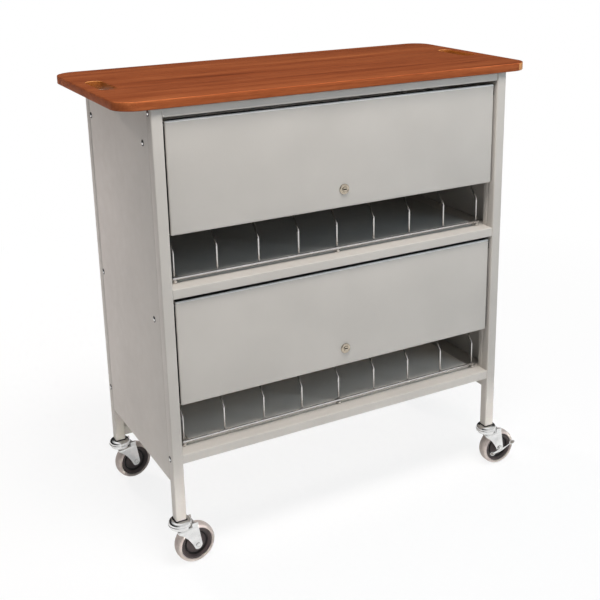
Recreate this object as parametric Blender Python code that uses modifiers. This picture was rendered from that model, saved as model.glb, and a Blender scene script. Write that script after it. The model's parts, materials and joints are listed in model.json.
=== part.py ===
"""Medical chart rack: a rolling steel cabinet with two tiers of wire dividers, two flipper doors that
slide back above the charts, a wood-laminate worktop and four swivel casters.

Units are metres. +Z is up, the front faces -Y, and the floor is z = 0, below the middle of the rack.
"""
import math

import bmesh
import bpy
from mathutils import Matrix, Vector

# Overall sizes
WORKTOP_LENGTH = 1.044
WORKTOP_THICKNESS = 0.019
OVERALL_HEIGHT = 1.088
FRAME_DEPTH = 0.456
WORKTOP_SIDE_OVERHANG = 0.070
WORKTOP_FRONT_OVERHANG = 0.007
WORKTOP_BACK_OVERHANG = 0.017
WORKTOP_CORNER_RADIUS = 0.050
WORKTOP_EDGE_EASE = 0.0015

# Clearances
GAP = 0.0003
CUT_OVERRUN = 0.005
MERGE_DISTANCE = 0.000001
SCREW_MERGE_DISTANCE = 0.0001

# Hand holds in the worktop
HAND_HOLD_LENGTH = 0.130
HAND_HOLD_WIDTH = 0.039
HAND_HOLD_FROM_END = 0.045
HAND_HOLD_SETBACK = 0.006

# Posts and stretcher, one-inch square tube
POST_SIZE = 0.0254
POST_WALL = 0.0015
POST_CORNER_RADIUS = 0.003
STRETCHER_ABOVE_POST_END = 0.016

# Sheet metal
SHEET = 0.0012
SHEET_BEND_RADIUS = 0.0015
PANEL_RECESS = 0.0005
PANEL_BOTTOM = 0.216
PANEL_RETURN = 0.014
PANEL_RETURN_BELOW_LIP = 0.009
BACK_PANEL_FLANGE = 0.012
TOP_PAN_FLANGE = 0.0185
SHELF_LIP = 0.0215
SHELF_RECESS = 0.002
BOTTOM_SHELF_TOP = 0.284
BASE_HEIGHT = 0.009
BASE_END_INSET = 0.008
BASE_END_SLOPE = 0.006
BASE_BACK_MARGIN = 0.012

# Wire racks: nine dividers on two rods
SLOTS = 8
RACK_END_CLEARANCE = 0.0202
ROD_RADIUS = 0.003
ROD_SETBACK = 0.0394
ROD_HEIGHT = 0.0105
ROD_END_REACH = 0.006
WIRE_RADIUS = 0.0023
WIRE_WELD_DEPTH = 0.0008
DIVIDER_KINK_HEIGHT = 0.069
DIVIDER_LEAN = math.radians(40)
DIVIDER_HEIGHT = 0.235
DIVIDER_BEND_RADIUS = 0.025
DIVIDER_KINK_RADIUS = 0.010
DIVIDER_BACK = 0.412

# Feet under the front rod, at the ends and the middle of the rack
FOOT_DIVIDERS = (0, 4, 8)
FOOT_RADIUS = 0.0042
FOOT_HEIGHT = 0.0050
FOOT_FLOOR = 0.0012
FOOT_NOTCH_WIDTH = 0.016
FOOT_NOTCH_DEPTH = 0.010

# Flipper doors
DOOR_REACH_IN = 0.1177
DOOR_TOP_GAP = 0.0095
DOOR_SIDE_GAP = 0.0036
DOOR_DEPTH = 0.016
DOOR_RECESS = 0.008
HINGE_INSET = 0.009
HINGE_PIN_RADIUS = 0.0025
HINGE_PIN_HEAD_RADIUS = 0.0042
HINGE_PIN_HEAD = 0.0015

# Slide rails and carriages
SLIDE_BELOW_DOOR_TOP = 0.051
RAIL_HEIGHT = 0.024
RAIL_DEPTH = 0.012
RAIL_WALL = 0.0015
RAIL_LIP = 0.0045
RAIL_END_MARGIN = 0.003
CARRIAGE_BAR_LENGTH = 0.150
CARRIAGE_BAR_THICKNESS = 0.006
CARRIAGE_START = 0.005
CARRIAGE_SPACER_LENGTH = 0.070
EAR_THICKNESS = 0.0018
EAR_RADIUS = 0.0075
EAR_LENGTH = 0.095
EAR_FRONT_SLOPE = 0.015

# Door locks
LOCK_ABOVE_DOOR_BOTTOM = 0.043
LOCK_BODY_RADIUS = 0.0095
LOCK_BODY_LENGTH = 0.020
LOCK_FACE_RADIUS = 0.0125
LOCK_FACE_THICKNESS = 0.0032
LOCK_PLUG_RADIUS = 0.0053
LOCK_PLUG_PROUD = 0.0006
LOCK_NUT_ACROSS = 0.027
LOCK_NUT_THICKNESS = 0.004
KEYWAY_WIDTH = 0.0016
KEYWAY_LENGTH = 0.0075
KEYWAY_DEPTH = 0.006
CAM_LENGTH = 0.030
CAM_WIDTH = 0.012
CAM_THICKNESS = 0.002
CAM_STANDOFF = 0.0006
KEEPER_THICKNESS = 0.0015
KEEPER_STRAP = 0.003
KEEPER_STRAP_HEIGHT = 0.010
KEEPER_TAB_WIDTH = 0.016
KEEPER_CAM_OVERLAP = 0.012
KEEPER_CAM_GAP = 0.0008
CAM_TIP_SHARE = 0.5

# Casters
WHEEL_HEADROOM = 0.002
TREAD_WIDTH = 0.030
TYRE_THICKNESS = 0.009
CASTER_HEIGHT = 0.117
CASTER_TRAIL = 0.034
STEM_LENGTH = 0.050
CUP_RADIUS = 0.0272
CUP_HEIGHT = 0.0170
CUP_RIM = 0.0035
CUP_FLOOR = 0.004
CUP_WALL = 0.003
CUP_SLOPE_SHARE = 0.33
KINGPIN_RADIUS = 0.005
KINGPIN_HEAD_RADIUS = 0.009
KINGPIN_HEAD = 0.0025
FORK_GAUGE = 0.0025
FORK_INSIDE_WIDTH = 0.034
FORK_BEND_RADIUS = 0.006
FORK_TOP_DROP = 0.0165
FORK_LEG_END_RADIUS = 0.0105
FORK_FRONT_REACH = 0.021
FORK_BACK_REACH = 0.0365
FORK_LIP_HEIGHT = 0.006
FORK_LIP_WIDTH = 0.020
FORK_LIP_GAP = 0.001
FORK_WAIST = 0.0055
FORK_WAIST_SHARES = ((0.2, 0.64), (0.5, 1.0), (0.8, 0.64))
FORK_BROW_DROP = 0.006
RACE_RADIUS = 0.0225
AXLE_RADIUS = 0.004
AXLE_HEAD_RADIUS = 0.0072
AXLE_HEAD = 0.0037
HUB_BOSS_RADIUS = 0.010
HUB_SIDE_GAP = 0.0005
HUB_WEB_HALF = 0.007
HUB_WEB_SHARE = 0.8
HUB_RIM_HALF = 0.0125
TYRE_SHOULDER = 0.006
TYRE_SHOULDER_SHARE = 0.3
BRAKE_GAUGE = 0.0022
BRAKE_EYE_RADIUS = 0.009
BRAKE_REACH = 0.0455
BRAKE_TAIL = 0.024
BRAKE_TAIL_DROP = 0.0095
BRAKE_RISE = 0.007
BRAKE_ARM = 0.007
BRAKE_PAD_LENGTH = 0.011
BRAKE_PAD_WIDTH = 0.0065

# How finely round forms are faceted
TURN_STEPS = 16
WHEEL_STEPS = 24
PIN_STEPS = 8
BEND_STEPS = 3
WIRE_BEND_STEPS = 2

# Where each caster points, as the direction that its wheel trails in, from +X towards +Y
CASTERS = {
    "front_left": (-1, -1, math.radians(5), False),
    "front_right": (1, -1, math.radians(-3), True),
    "rear_left": (-1, 1, math.radians(9), False),
    "rear_right": (1, 1, math.radians(4), True),
}

# The sides of a box, and how much of a side's way a face must share to be on it
WAYS = {
    "-x": (-1, 0, 0), "+x": (1, 0, 0), "-y": (0, -1, 0),
    "+y": (0, 1, 0), "-z": (0, 0, -1), "+z": (0, 0, 1),
}
FACING_SHARE = 0.7
FULL_TURN = 2 * math.pi
HEXAGON_SIDES = 6

# Colours, roughness and metallic value of each finish
PAINT = ((0.50, 0.47, 0.43), 0.45, 0.0)
LAMINATE = ((0.34, 0.085, 0.027), 0.35, 0.0)
DARK_PAINT = ((0.13, 0.125, 0.12), 0.5, 0.0)
CHROME = ((0.60, 0.60, 0.60), 0.2, 1.0)
ZINC = ((0.62, 0.63, 0.65), 0.3, 1.0)
NICKEL = ((0.62, 0.58, 0.50), 0.25, 1.0)
NYLON = ((0.72, 0.70, 0.67), 0.4, 0.0)
TYRE_GREY = ((0.26, 0.235, 0.21), 0.7, 0.0)
HUB_BROWN = ((0.03, 0.022, 0.02), 0.5, 0.0)

# Places worked out from the sizes
FRAME_WIDTH = WORKTOP_LENGTH - 2 * WORKTOP_SIDE_OVERHANG
WORKTOP_DEPTH = FRAME_DEPTH + WORKTOP_FRONT_OVERHANG + WORKTOP_BACK_OVERHANG
UNDERSIDE = OVERALL_HEIGHT - WORKTOP_THICKNESS
STRETCHER_BOTTOM = CASTER_HEIGHT + STRETCHER_ABOVE_POST_END
FORK_TOP = CASTER_HEIGHT - FORK_TOP_DROP
WHEEL_RADIUS = (FORK_TOP - FORK_GAUGE - WHEEL_HEADROOM) / 2
FORK_HALF = FORK_INSIDE_WIDTH / 2 + FORK_GAUGE
BRAKED_ANGLE = CASTERS["front_right"][2]
BRAKE_PAD_OUT = (FORK_HALF + GAP + BRAKE_PAD_WIDTH) * math.cos(BRAKED_ANGLE)
BRAKE_PAD_SWING = (CASTER_TRAIL + BRAKE_REACH) * math.sin(-BRAKED_ANGLE)
FRONT_REACH = BRAKE_PAD_OUT + BRAKE_PAD_SWING - POST_SIZE / 2
FRONT = (FRONT_REACH - WORKTOP_BACK_OVERHANG - FRAME_DEPTH) / 2
BACK = FRONT + FRAME_DEPTH
SIDE = FRAME_WIDTH / 2
POST_X = SIDE - POST_SIZE / 2
POST_INSIDE_X = SIDE - POST_SIZE
PANEL_INSIDE_X = SIDE - PANEL_RECESS - SHEET
PANEL_INSIDE_Y = BACK - PANEL_RECESS - SHEET
BEHIND_POST = POST_SIZE + GAP
NOTCH_BACK = BEHIND_POST + SHEET + GAP
NOTCH_FRONT = BEHIND_POST + PANEL_RETURN + GAP
RACK_HALF = POST_INSIDE_X - RACK_END_CLEARANCE
SLOT_PITCH = 2 * RACK_HALF / SLOTS
DIVIDER_X = [number * SLOT_PITCH - RACK_HALF for number in range(SLOTS + 1)]
TOP_PAN_BOTTOM = UNDERSIDE - GAP - TOP_PAN_FLANGE
TIER_PITCH = (TOP_PAN_BOTTOM + SHELF_LIP - BOTTOM_SHELF_TOP) / 2
MIDDLE_SHELF_TOP = BOTTOM_SHELF_TOP + TIER_PITCH
DOOR_HEIGHT = TIER_PITCH - SHELF_LIP - DOOR_TOP_GAP - DOOR_REACH_IN
DOOR_HALF_WIDTH = POST_INSIDE_X - DOOR_SIDE_GAP
DOOR_FRONT = FRONT + DOOR_RECESS
HINGE_Y = DOOR_FRONT + HINGE_INSET
ROD_Y = FRONT + ROD_SETBACK
LOCK_BACK = DOOR_FRONT - GAP + LOCK_BODY_LENGTH
CAM_FRONT = LOCK_BACK + CAM_STANDOFF

# Tiers: height of the shelf, and of the door's top edge under what is above it
TIERS = {
    "upper": (MIDDLE_SHELF_TOP, TOP_PAN_BOTTOM - DOOR_TOP_GAP),
    "lower": (BOTTOM_SHELF_TOP, MIDDLE_SHELF_TOP - SHELF_LIP - DOOR_TOP_GAP),
}
SIDES = {"left": -1, "right": 1}


def start_scene():
    """Empties the scene and makes the collections for the rack and for its cutters."""
    for old in list(bpy.data.objects):
        bpy.data.objects.remove(old, do_unlink=True)
    made = []
    for name in ("medical_chart_rack", "cutters"):
        collection = bpy.data.collections.new(name)
        bpy.context.scene.collection.children.link(collection)
        made.append(collection)
    return made


RACK, CUTTERS = start_scene()


def finish_piece(piece, finish):
    """Gives a piece its own Principled material."""
    colour, roughness, metallic = finish
    material = bpy.data.materials.new(piece.name)
    material.use_nodes = True
    shader = material.node_tree.nodes["Principled BSDF"]
    shader.inputs["Base Color"].default_value = (*colour, 1.0)
    shader.inputs["Roughness"].default_value = roughness
    shader.inputs["Metallic"].default_value = metallic
    piece.data.materials.clear()
    piece.data.materials.append(material)
    return piece


def as_cutter(piece):
    """Turns a piece into a hidden tool for Boolean modifiers."""
    for collection in list(piece.users_collection):
        collection.objects.unlink(piece)
    CUTTERS.objects.link(piece)
    piece.hide_render = True
    piece.display_type = "WIRE"
    return piece


def boolean(piece, tool, operation):
    modifier = piece.modifiers.new(f"{operation.lower()} {tool.name}", "BOOLEAN")
    modifier.operation = operation
    modifier.solver = "EXACT"
    modifier.object = as_cutter(tool)
    return piece


def smooth(piece, angle=math.radians(35)):
    piece.data.shade_smooth()
    piece.data.set_sharp_from_angle(angle=angle)
    return piece


def mesh_piece(name, bm):
    """Makes an object in the rack's collection from a bmesh."""
    bmesh.ops.recalc_face_normals(bm, faces=bm.faces)
    mesh = bpy.data.meshes.new(name)
    bm.to_mesh(mesh)
    bm.free()
    piece = bpy.data.objects.new(name, mesh)
    RACK.objects.link(piece)
    return piece


def block(name, low, high):
    """A box between two corners."""
    bm = bmesh.new()
    size = [b - a for a, b in zip(low, high)]
    middle = [(a + b) / 2 for a, b in zip(low, high)]
    bmesh.ops.create_cube(bm, size=1, matrix=Matrix.Translation(middle) @ Matrix.Diagonal((*size, 1)))
    return mesh_piece(name, bm)


def cylinder(name, start, end, radius, steps):
    """A plain cylinder between two points."""
    start, end = Vector(start), Vector(end)
    turn = (end - start).to_track_quat("Z", "Y").to_matrix().to_4x4()
    bm = bmesh.new()
    bmesh.ops.create_cone(
        bm, cap_ends=True, segments=steps, radius1=radius, radius2=radius,
        depth=(end - start).length, matrix=Matrix.Translation((start + end) / 2) @ turn,
    )
    return smooth(mesh_piece(name, bm))


def turned(name, profile, steps, closed=False):
    """A Screw round local Z of (radius, height) points, which run down the outer side."""
    bm = bmesh.new()
    points = [bm.verts.new((radius, 0, height)) for radius, height in profile]
    for a, b in zip(points, points[1:]):
        bm.edges.new((a, b))
    if closed:
        bm.edges.new((points[-1], points[0]))
    piece = mesh_piece(name, bm)
    screw = piece.modifiers.new("turn", "SCREW")
    screw.steps = screw.render_steps = steps
    screw.use_merge_vertices = True
    screw.merge_threshold = SCREW_MERGE_DISTANCE
    screw.use_smooth_shade = True
    return piece


def clear_bore(radius, steps):
    """The corner radius of a faceted bore whose flats clear a shaft of the given radius."""
    return (radius + GAP) / math.cos(math.pi / steps)


def arc(centre, radius, start, end, steps):
    """Points along an arc, both ends included."""
    return [
        (centre[0] + radius * math.cos(start + (end - start) * i / steps),
         centre[1] + radius * math.sin(start + (end - start) * i / steps))
        for i in range(steps + 1)
    ]


def rounded_rectangle(width, height, radius, steps, centre=(0, 0)):
    """The outline of a rectangle with round corners, counterclockwise."""
    across, up = width / 2 - radius, height / 2 - radius
    points = []
    for number, (sx, sy) in enumerate(((1, 1), (-1, 1), (-1, -1), (1, -1))):
        corner = (centre[0] + sx * across, centre[1] + sy * up)
        points += arc(corner, radius, math.pi / 2 * number, math.pi / 2 * (number + 1), steps)
    return points


def bent_path(points, radii, steps):
    """A path of straight runs whose inner corners are rounded to the given radii."""
    points = [Vector(p) for p in points]
    path = [points[0]]
    for before, corner, after, radius in zip(points, points[1:], points[2:], radii):
        into, out = (corner - before).normalized(), (after - corner).normalized()
        bend = into.angle(out)
        trim = radius * math.tan(bend / 2)
        first = corner - into * trim
        centre_way = (out - into).normalized()
        centre = corner + centre_way * (radius / math.cos(bend / 2))
        spoke = first - centre
        axis = into.cross(out)
        path += [centre + Matrix.Rotation(bend * i / steps, 3, axis) @ spoke for i in range(steps + 1)]
    path.append(points[-1])
    return path


def mesh_from_curve(curve):
    """Swaps a curve object for the mesh that it evaluates to, with its caps welded on."""
    bpy.context.view_layer.update()
    evaluated = curve.evaluated_get(bpy.context.evaluated_depsgraph_get())
    mesh = bpy.data.meshes.new_from_object(evaluated)
    name, place = curve.name, curve.matrix_world.copy()
    bpy.data.objects.remove(curve, do_unlink=True)
    bm = bmesh.new()
    bm.from_mesh(mesh)
    bmesh.ops.remove_doubles(bm, verts=bm.verts, dist=MERGE_DISTANCE)
    bmesh.ops.recalc_face_normals(bm, faces=bm.faces)
    bm.to_mesh(mesh)
    bm.free()
    mesh.name = name
    piece = bpy.data.objects.new(name, mesh)
    piece.matrix_world = place
    RACK.objects.link(piece)
    return piece


def plate(name, outlines, low, high, axis="Z"):
    """Flat stock cut to outlines, the first the rim and any others holes, from low to high along an axis.

    Outline points are (x, y) for axis Z, (y, z) for axis X and (x, z) for axis Y.
    """
    data = bpy.data.curves.new(name, "CURVE")
    data.dimensions = "2D"
    data.fill_mode = "BOTH"
    data.extrude = (high - low) / 2
    for outline in outlines:
        spline = data.splines.new("POLY")
        spline.points.add(len(outline) - 1)
        for point, (a, b) in zip(spline.points, outline):
            point.co = Vector((a, b, 0)).to_4d()
        spline.use_cyclic_u = True
    curve = bpy.data.objects.new(name, data)
    upright = Matrix.Rotation(math.pi / 2, 4, "X")
    turns = {"Z": Matrix.Identity(4), "X": Matrix.Rotation(math.pi / 2, 4, "Z") @ upright, "Y": upright}
    middle = (low + high) / 2
    if axis == "Y":
        middle = -middle
    curve.matrix_world = turns[axis] @ Matrix.Translation((0, 0, middle))
    RACK.objects.link(curve)
    return mesh_from_curve(curve)


def wire(name, path, radius, sides_step=1):
    """A round wire along a path."""
    data = bpy.data.curves.new(name, "CURVE")
    data.dimensions = "3D"
    data.bevel_depth = radius
    data.bevel_resolution = sides_step
    data.use_fill_caps = True
    spline = data.splines.new("POLY")
    spline.points.add(len(path) - 1)
    for point, place in zip(spline.points, path):
        point.co = Vector(place).to_4d()
    curve = bpy.data.objects.new(name, data)
    RACK.objects.link(curve)
    return smooth(mesh_from_curve(curve), math.radians(65))


def pan(name, low, high, open_sides):
    """Folded sheet metal: a box with the named sides left open, its outside at the given corners."""
    bm = bmesh.new()
    size = [b - a for a, b in zip(low, high)]
    middle = [(a + b) / 2 for a, b in zip(low, high)]
    bmesh.ops.create_cube(bm, size=1, matrix=Matrix.Translation(middle) @ Matrix.Diagonal((*size, 1)))
    bm.faces.ensure_lookup_table()
    gone = []
    for side in open_sides:
        way = Vector(WAYS[side])
        gone += [face for face in bm.faces if face.normal.dot(way) > FACING_SHARE]
    bmesh.ops.delete(bm, geom=gone, context="FACES")
    mesh = bpy.data.meshes.new(name)
    bm.to_mesh(mesh)
    bm.free()
    piece = bpy.data.objects.new(name, mesh)
    RACK.objects.link(piece)
    return gauge(bends(piece), SHEET)


def folded(name, outline, low, high, axis="Z"):
    """Sheet metal bent to an open outline, which runs counterclockwise round what it wraps.

    The outline is the sheet's outer face, as (x, y) along axis Z or (y, z) along axis X.
    """
    bm = bmesh.new()
    rows = []
    for level in (low, high):
        rows.append([bm.verts.new((a, b, level) if axis == "Z" else (level, a, b)) for a, b in outline])
    for i in range(len(outline) - 1):
        bm.faces.new((rows[0][i], rows[0][i + 1], rows[1][i + 1], rows[1][i]))
    mesh = bpy.data.meshes.new(name)
    bm.to_mesh(mesh)
    bm.free()
    piece = bpy.data.objects.new(name, mesh)
    RACK.objects.link(piece)
    return piece


def gauge(piece, thickness):
    """Gives an open surface its sheet thickness, inwards from its outer face."""
    modifier = piece.modifiers.new("gauge", "SOLIDIFY")
    modifier.thickness = thickness
    modifier.offset = -1
    modifier.use_even_offset = True
    return piece


def bends(piece):
    """Rounds the folds of a sheet."""
    modifier = piece.modifiers.new("bends", "BEVEL")
    modifier.width = SHEET_BEND_RADIUS
    modifier.segments = BEND_STEPS - 1
    modifier.limit_method = "ANGLE"
    return piece


def tray(name, top, flange):
    """A shelf or pan: a web with its edges folded down, notched round the posts and panel returns."""
    reach = PANEL_INSIDE_X - GAP
    low = (-reach, FRONT + SHELF_RECESS, top - flange)
    high = (reach, PANEL_INSIDE_Y - GAP, top)
    piece = pan(name, low, high, ["-z"])
    for sx in SIDES.values():
        for sy, edge, inner_x, depth in (
            (-1, FRONT, POST_INSIDE_X - GAP, NOTCH_FRONT),
            (1, BACK, POST_INSIDE_X - GAP - SHEET - GAP, NOTCH_FRONT),
        ):
            xs = sorted((sx * inner_x, sx * (SIDE + CUT_OVERRUN)))
            ys = sorted((edge - sy * depth, edge + sy * CUT_OVERRUN))
            low = (xs[0], ys[0], top - flange - CUT_OVERRUN)
            high = (xs[1], ys[1], top + CUT_OVERRUN)
            boolean(piece, block(f"{name}_notch", low, high), "DIFFERENCE")
    return finish_piece(piece, PAINT)


def make_worktop():
    middle = (FRONT + BACK + WORKTOP_BACK_OVERHANG - WORKTOP_FRONT_OVERHANG) / 2
    steps = 2 * BEND_STEPS
    rim = rounded_rectangle(WORKTOP_LENGTH, WORKTOP_DEPTH, WORKTOP_CORNER_RADIUS, steps, (0, middle))
    holes = []
    for side in SIDES.values():
        place = (side * (WORKTOP_LENGTH / 2 - HAND_HOLD_FROM_END), middle + HAND_HOLD_SETBACK)
        radius = HAND_HOLD_WIDTH / 2 - GAP
        holes.append(rounded_rectangle(HAND_HOLD_WIDTH, HAND_HOLD_LENGTH, radius, BEND_STEPS, place))
    piece = plate("worktop", [rim, *holes], UNDERSIDE, OVERALL_HEIGHT)
    ease = piece.modifiers.new("eased edges", "BEVEL")
    ease.width = WORKTOP_EDGE_EASE
    ease.segments = 1
    ease.limit_method = "ANGLE"
    ease.angle_limit = math.radians(60)
    finish_piece(smooth(piece), LAMINATE)


def tube_outlines(centre=(0, 0)):
    """The outer and inner outlines of the square tube."""
    inside = POST_SIZE - 2 * POST_WALL
    return [
        rounded_rectangle(POST_SIZE, POST_SIZE, POST_CORNER_RADIUS, BEND_STEPS, centre),
        rounded_rectangle(inside, inside, POST_CORNER_RADIUS - POST_WALL, BEND_STEPS - 1, centre),
    ]


def post_y(sy):
    """The middle of the front posts for -1, of the rear posts for 1."""
    return (FRONT + BACK) / 2 + sy * (FRAME_DEPTH - POST_SIZE) / 2


def make_frame():
    """Posts, stretcher, panels and pans."""
    for name, (sx, sy, _, _) in CASTERS.items():
        outlines = tube_outlines((sx * POST_X, post_y(sy)))
        finish_piece(plate(f"post_{name}", outlines, CASTER_HEIGHT, UNDERSIDE - GAP), PAINT)
    length = POST_INSIDE_X - GAP
    outlines = tube_outlines((post_y(1), STRETCHER_BOTTOM + POST_SIZE / 2))
    finish_piece(plate("rear_stretcher", outlines, -length, length, "X"), PAINT)

    top = UNDERSIDE - GAP
    near, far = FRONT + BEHIND_POST, BACK - BEHIND_POST
    for side, sx in SIDES.items():
        inner, outer = sx * POST_INSIDE_X, sx * (SIDE - PANEL_RECESS)
        outline = [
            (inner, far - PANEL_RETURN), (inner, far), (outer, far),
            (outer, near), (inner, near), (inner, near + PANEL_RETURN),
        ]
        if sx > 0:
            outline.reverse()
        panel = folded(f"side_panel_{side}", outline, PANEL_BOTTOM, top)
        gauge(bends(panel), SHEET)
        return_end = BOTTOM_SHELF_TOP - SHELF_LIP - PANEL_RETURN_BELOW_LIP
        xs = sorted((inner - sx * CUT_OVERRUN, outer - sx * (SHEET + SHEET_BEND_RADIUS)))
        low = (xs[0], near - CUT_OVERRUN, PANEL_BOTTOM - CUT_OVERRUN)
        high = (xs[1], far + CUT_OVERRUN, return_end)
        boolean(panel, block(f"side_panel_{side}_relief", low, high), "DIFFERENCE")
        finish_piece(panel, PAINT)
    rear = BACK - PANEL_RECESS
    low = (-length, rear - BACK_PANEL_FLANGE, PANEL_BOTTOM)
    finish_piece(pan("back_panel", low, (length, rear, top), ["+z", "-y"]), PAINT)

    tray("top_pan", top, TOP_PAN_FLANGE)
    tray("middle_shelf", MIDDLE_SHELF_TOP, SHELF_LIP)
    tray("bottom_shelf", BOTTOM_SHELF_TOP, SHELF_LIP)


def divider_path(x, shelf):
    """One divider: up from the front rod, leaning back from its kink, along the top and down again."""
    first = ROD_Y + ROD_RADIUS + WIRE_RADIUS - WIRE_WELD_DEPTH
    lean_top = first + (DIVIDER_HEIGHT - DIVIDER_KINK_HEIGHT) * math.tan(DIVIDER_LEAN)
    back = FRONT + DIVIDER_BACK
    foot = shelf + GAP + BASE_HEIGHT + GAP
    corners = [
        (x, first, foot),
        (x, first, shelf + DIVIDER_KINK_HEIGHT),
        (x, lean_top, shelf + DIVIDER_HEIGHT),
        (x, back, shelf + DIVIDER_HEIGHT),
        (x, back, foot),
    ]
    radii = (DIVIDER_KINK_RADIUS, DIVIDER_BEND_RADIUS, DIVIDER_BEND_RADIUS)
    return bent_path(corners, radii, WIRE_BEND_STEPS)


def make_rack(tier, shelf, door_top):
    """A welded rack: front rod, rear rod, nine dividers, and the lock's keeper on the middle one."""
    end = RACK_HALF + ROD_END_REACH
    height = shelf + ROD_HEIGHT
    rear_height = shelf + GAP + BASE_HEIGHT + GAP + ROD_RADIUS
    name = f"{tier}_wire_rack"
    front_rod = wire(name, [(-end, ROD_Y, height), (end, ROD_Y, height)], ROD_RADIUS, 2)
    rear_y = FRONT + DIVIDER_BACK - WIRE_RADIUS - ROD_RADIUS + WIRE_WELD_DEPTH
    rear_ends = [(-end, rear_y, rear_height), (end, rear_y, rear_height)]
    welded = [wire(f"{name}_rear_rod", rear_ends, ROD_RADIUS, 2)]
    for number, x in enumerate(DIVIDER_X):
        welded.append(wire(f"{name}_divider_{number + 1}", divider_path(x, shelf), WIRE_RADIUS))
        if number in FOOT_DIVIDERS:
            leg_end = shelf + GAP + FOOT_FLOOR + GAP
            leg = [(x, ROD_Y, height), (x, ROD_Y, leg_end)]
            welded.append(wire(f"{name}_leg_{number + 1}", leg, WIRE_RADIUS))

    lock_z = door_top - DOOR_HEIGHT + LOCK_ABOVE_DOOR_BOTTOM
    tab_back = CAM_FRONT - KEEPER_CAM_GAP
    tab_front = tab_back - KEEPER_THICKNESS
    strap_low = lock_z + CAM_LENGTH + KEEPER_THICKNESS
    strap_high = strap_low + KEEPER_STRAP_HEIGHT
    strap_middle = (strap_low + strap_high) / 2 - shelf
    leaning = (strap_middle - DIVIDER_KINK_HEIGHT) * math.tan(DIVIDER_LEAN)
    wire_y = ROD_Y + ROD_RADIUS + WIRE_RADIUS + leaning
    strap = KEEPER_STRAP / 2
    tab = KEEPER_TAB_WIDTH / 2
    tab_low = lock_z + CAM_LENGTH - KEEPER_CAM_OVERLAP
    welded += [
        block(f"{name}_keeper_strap", (-strap, tab_front, strap_low), (strap, wire_y, strap_high)),
        block(f"{name}_keeper_tab", (-tab, tab_front, tab_low), (tab, tab_back, strap_high)),
    ]
    for piece in welded:
        boolean(front_rod, piece, "UNION")
    finish_piece(front_rod, CHROME)


def make_feet(tier, shelf):
    """Round caps on the legs of the front rod."""
    bore = clear_bore(WIRE_RADIUS, PIN_STEPS)
    for number in FOOT_DIVIDERS:
        foot = turned(f"{tier}_rack_foot_{number + 1}", [
            (0, FOOT_FLOOR),
            (bore, FOOT_FLOOR),
            (bore, FOOT_HEIGHT),
            ((bore + FOOT_RADIUS) / 2, FOOT_HEIGHT),
            (FOOT_RADIUS, FOOT_HEIGHT / 2),
            (FOOT_RADIUS, 0),
            (0, 0),
        ], PIN_STEPS)
        foot.location = (DIVIDER_X[number], ROD_Y, shelf + GAP)
        finish_piece(foot, NYLON)


def make_base(tier, shelf):
    """The low folded base that the wire rack stands on, behind its front rod."""
    edge = RACK_HALF - BASE_END_INSET
    front = ROD_Y + FOOT_RADIUS + GAP
    back = PANEL_INSIDE_Y - BASE_BACK_MARGIN
    top = shelf + GAP + BASE_HEIGHT
    name = f"{tier}_rack_base"
    base = pan(name, (-edge, front, shelf + GAP), (edge, back, top), ["-z"])
    for corner in base.data.vertices:
        if corner.co.z > shelf + BASE_HEIGHT / 2:
            corner.co.x -= math.copysign(BASE_END_SLOPE, corner.co.x)
    notch = block(
        f"{name}_notch",
        (-FOOT_NOTCH_WIDTH / 2, front - CUT_OVERRUN, shelf - CUT_OVERRUN),
        (FOOT_NOTCH_WIDTH / 2, front + FOOT_NOTCH_DEPTH, top + CUT_OVERRUN),
    )
    under = block(
        f"{name}_trim",
        (-edge - CUT_OVERRUN, front - CUT_OVERRUN, shelf - CUT_OVERRUN),
        (edge + CUT_OVERRUN, back + CUT_OVERRUN, shelf + GAP),
    )
    for tool in (notch, under):
        boolean(base, tool, "DIFFERENCE")
    finish_piece(base, DARK_PAINT)


def make_door(tier, door_top):
    """A flipper door with its lock, on an empty at its hinge axis."""
    bottom = door_top - DOOR_HEIGHT
    hinge = bpy.data.objects.new(f"{tier}_door_hinge_axis", None)
    hinge.location = (0, HINGE_Y, door_top - HINGE_INSET)
    RACK.objects.link(hinge)
    low = (-DOOR_HALF_WIDTH, DOOR_FRONT, bottom)
    door = pan(f"{tier}_door", low, (DOOR_HALF_WIDTH, DOOR_FRONT + DOOR_DEPTH, door_top), ["+y"])
    reach = DOOR_HALF_WIDTH + CUT_OVERRUN
    pin_z = door_top - HINGE_INSET
    bore = clear_bore(HINGE_PIN_RADIUS, PIN_STEPS)
    ends = (-reach, HINGE_Y, pin_z), (reach, HINGE_Y, pin_z)
    boolean(door, cylinder(f"{tier}_door_pin_hole", *ends, bore, PIN_STEPS), "DIFFERENCE")
    lock_z = bottom + LOCK_ABOVE_DOOR_BOTTOM
    bore = clear_bore(LOCK_BODY_RADIUS, TURN_STEPS)
    ends = (0, DOOR_FRONT - CUT_OVERRUN, lock_z), (0, DOOR_FRONT + CUT_OVERRUN, lock_z)
    boolean(door, cylinder(f"{tier}_door_lock_hole", *ends, bore, TURN_STEPS), "DIFFERENCE")
    finish_piece(door, PAINT)
    keep_place(door, hinge)

    lock = bpy.data.objects.new(f"{tier}_lock_axis", None)
    lock.location = (0, DOOR_FRONT, lock_z)
    lock.rotation_euler = (math.pi / 2, 0, 0)
    RACK.objects.link(lock)
    keep_place(lock, hinge)
    make_lock(tier, lock)


def keep_place(piece, parent):
    """Parents a piece without moving it."""
    bpy.context.view_layer.update()
    place = piece.matrix_world.copy()
    piece.parent = parent
    piece.matrix_parent_inverse = parent.matrix_world.inverted()
    piece.matrix_world = place


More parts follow.
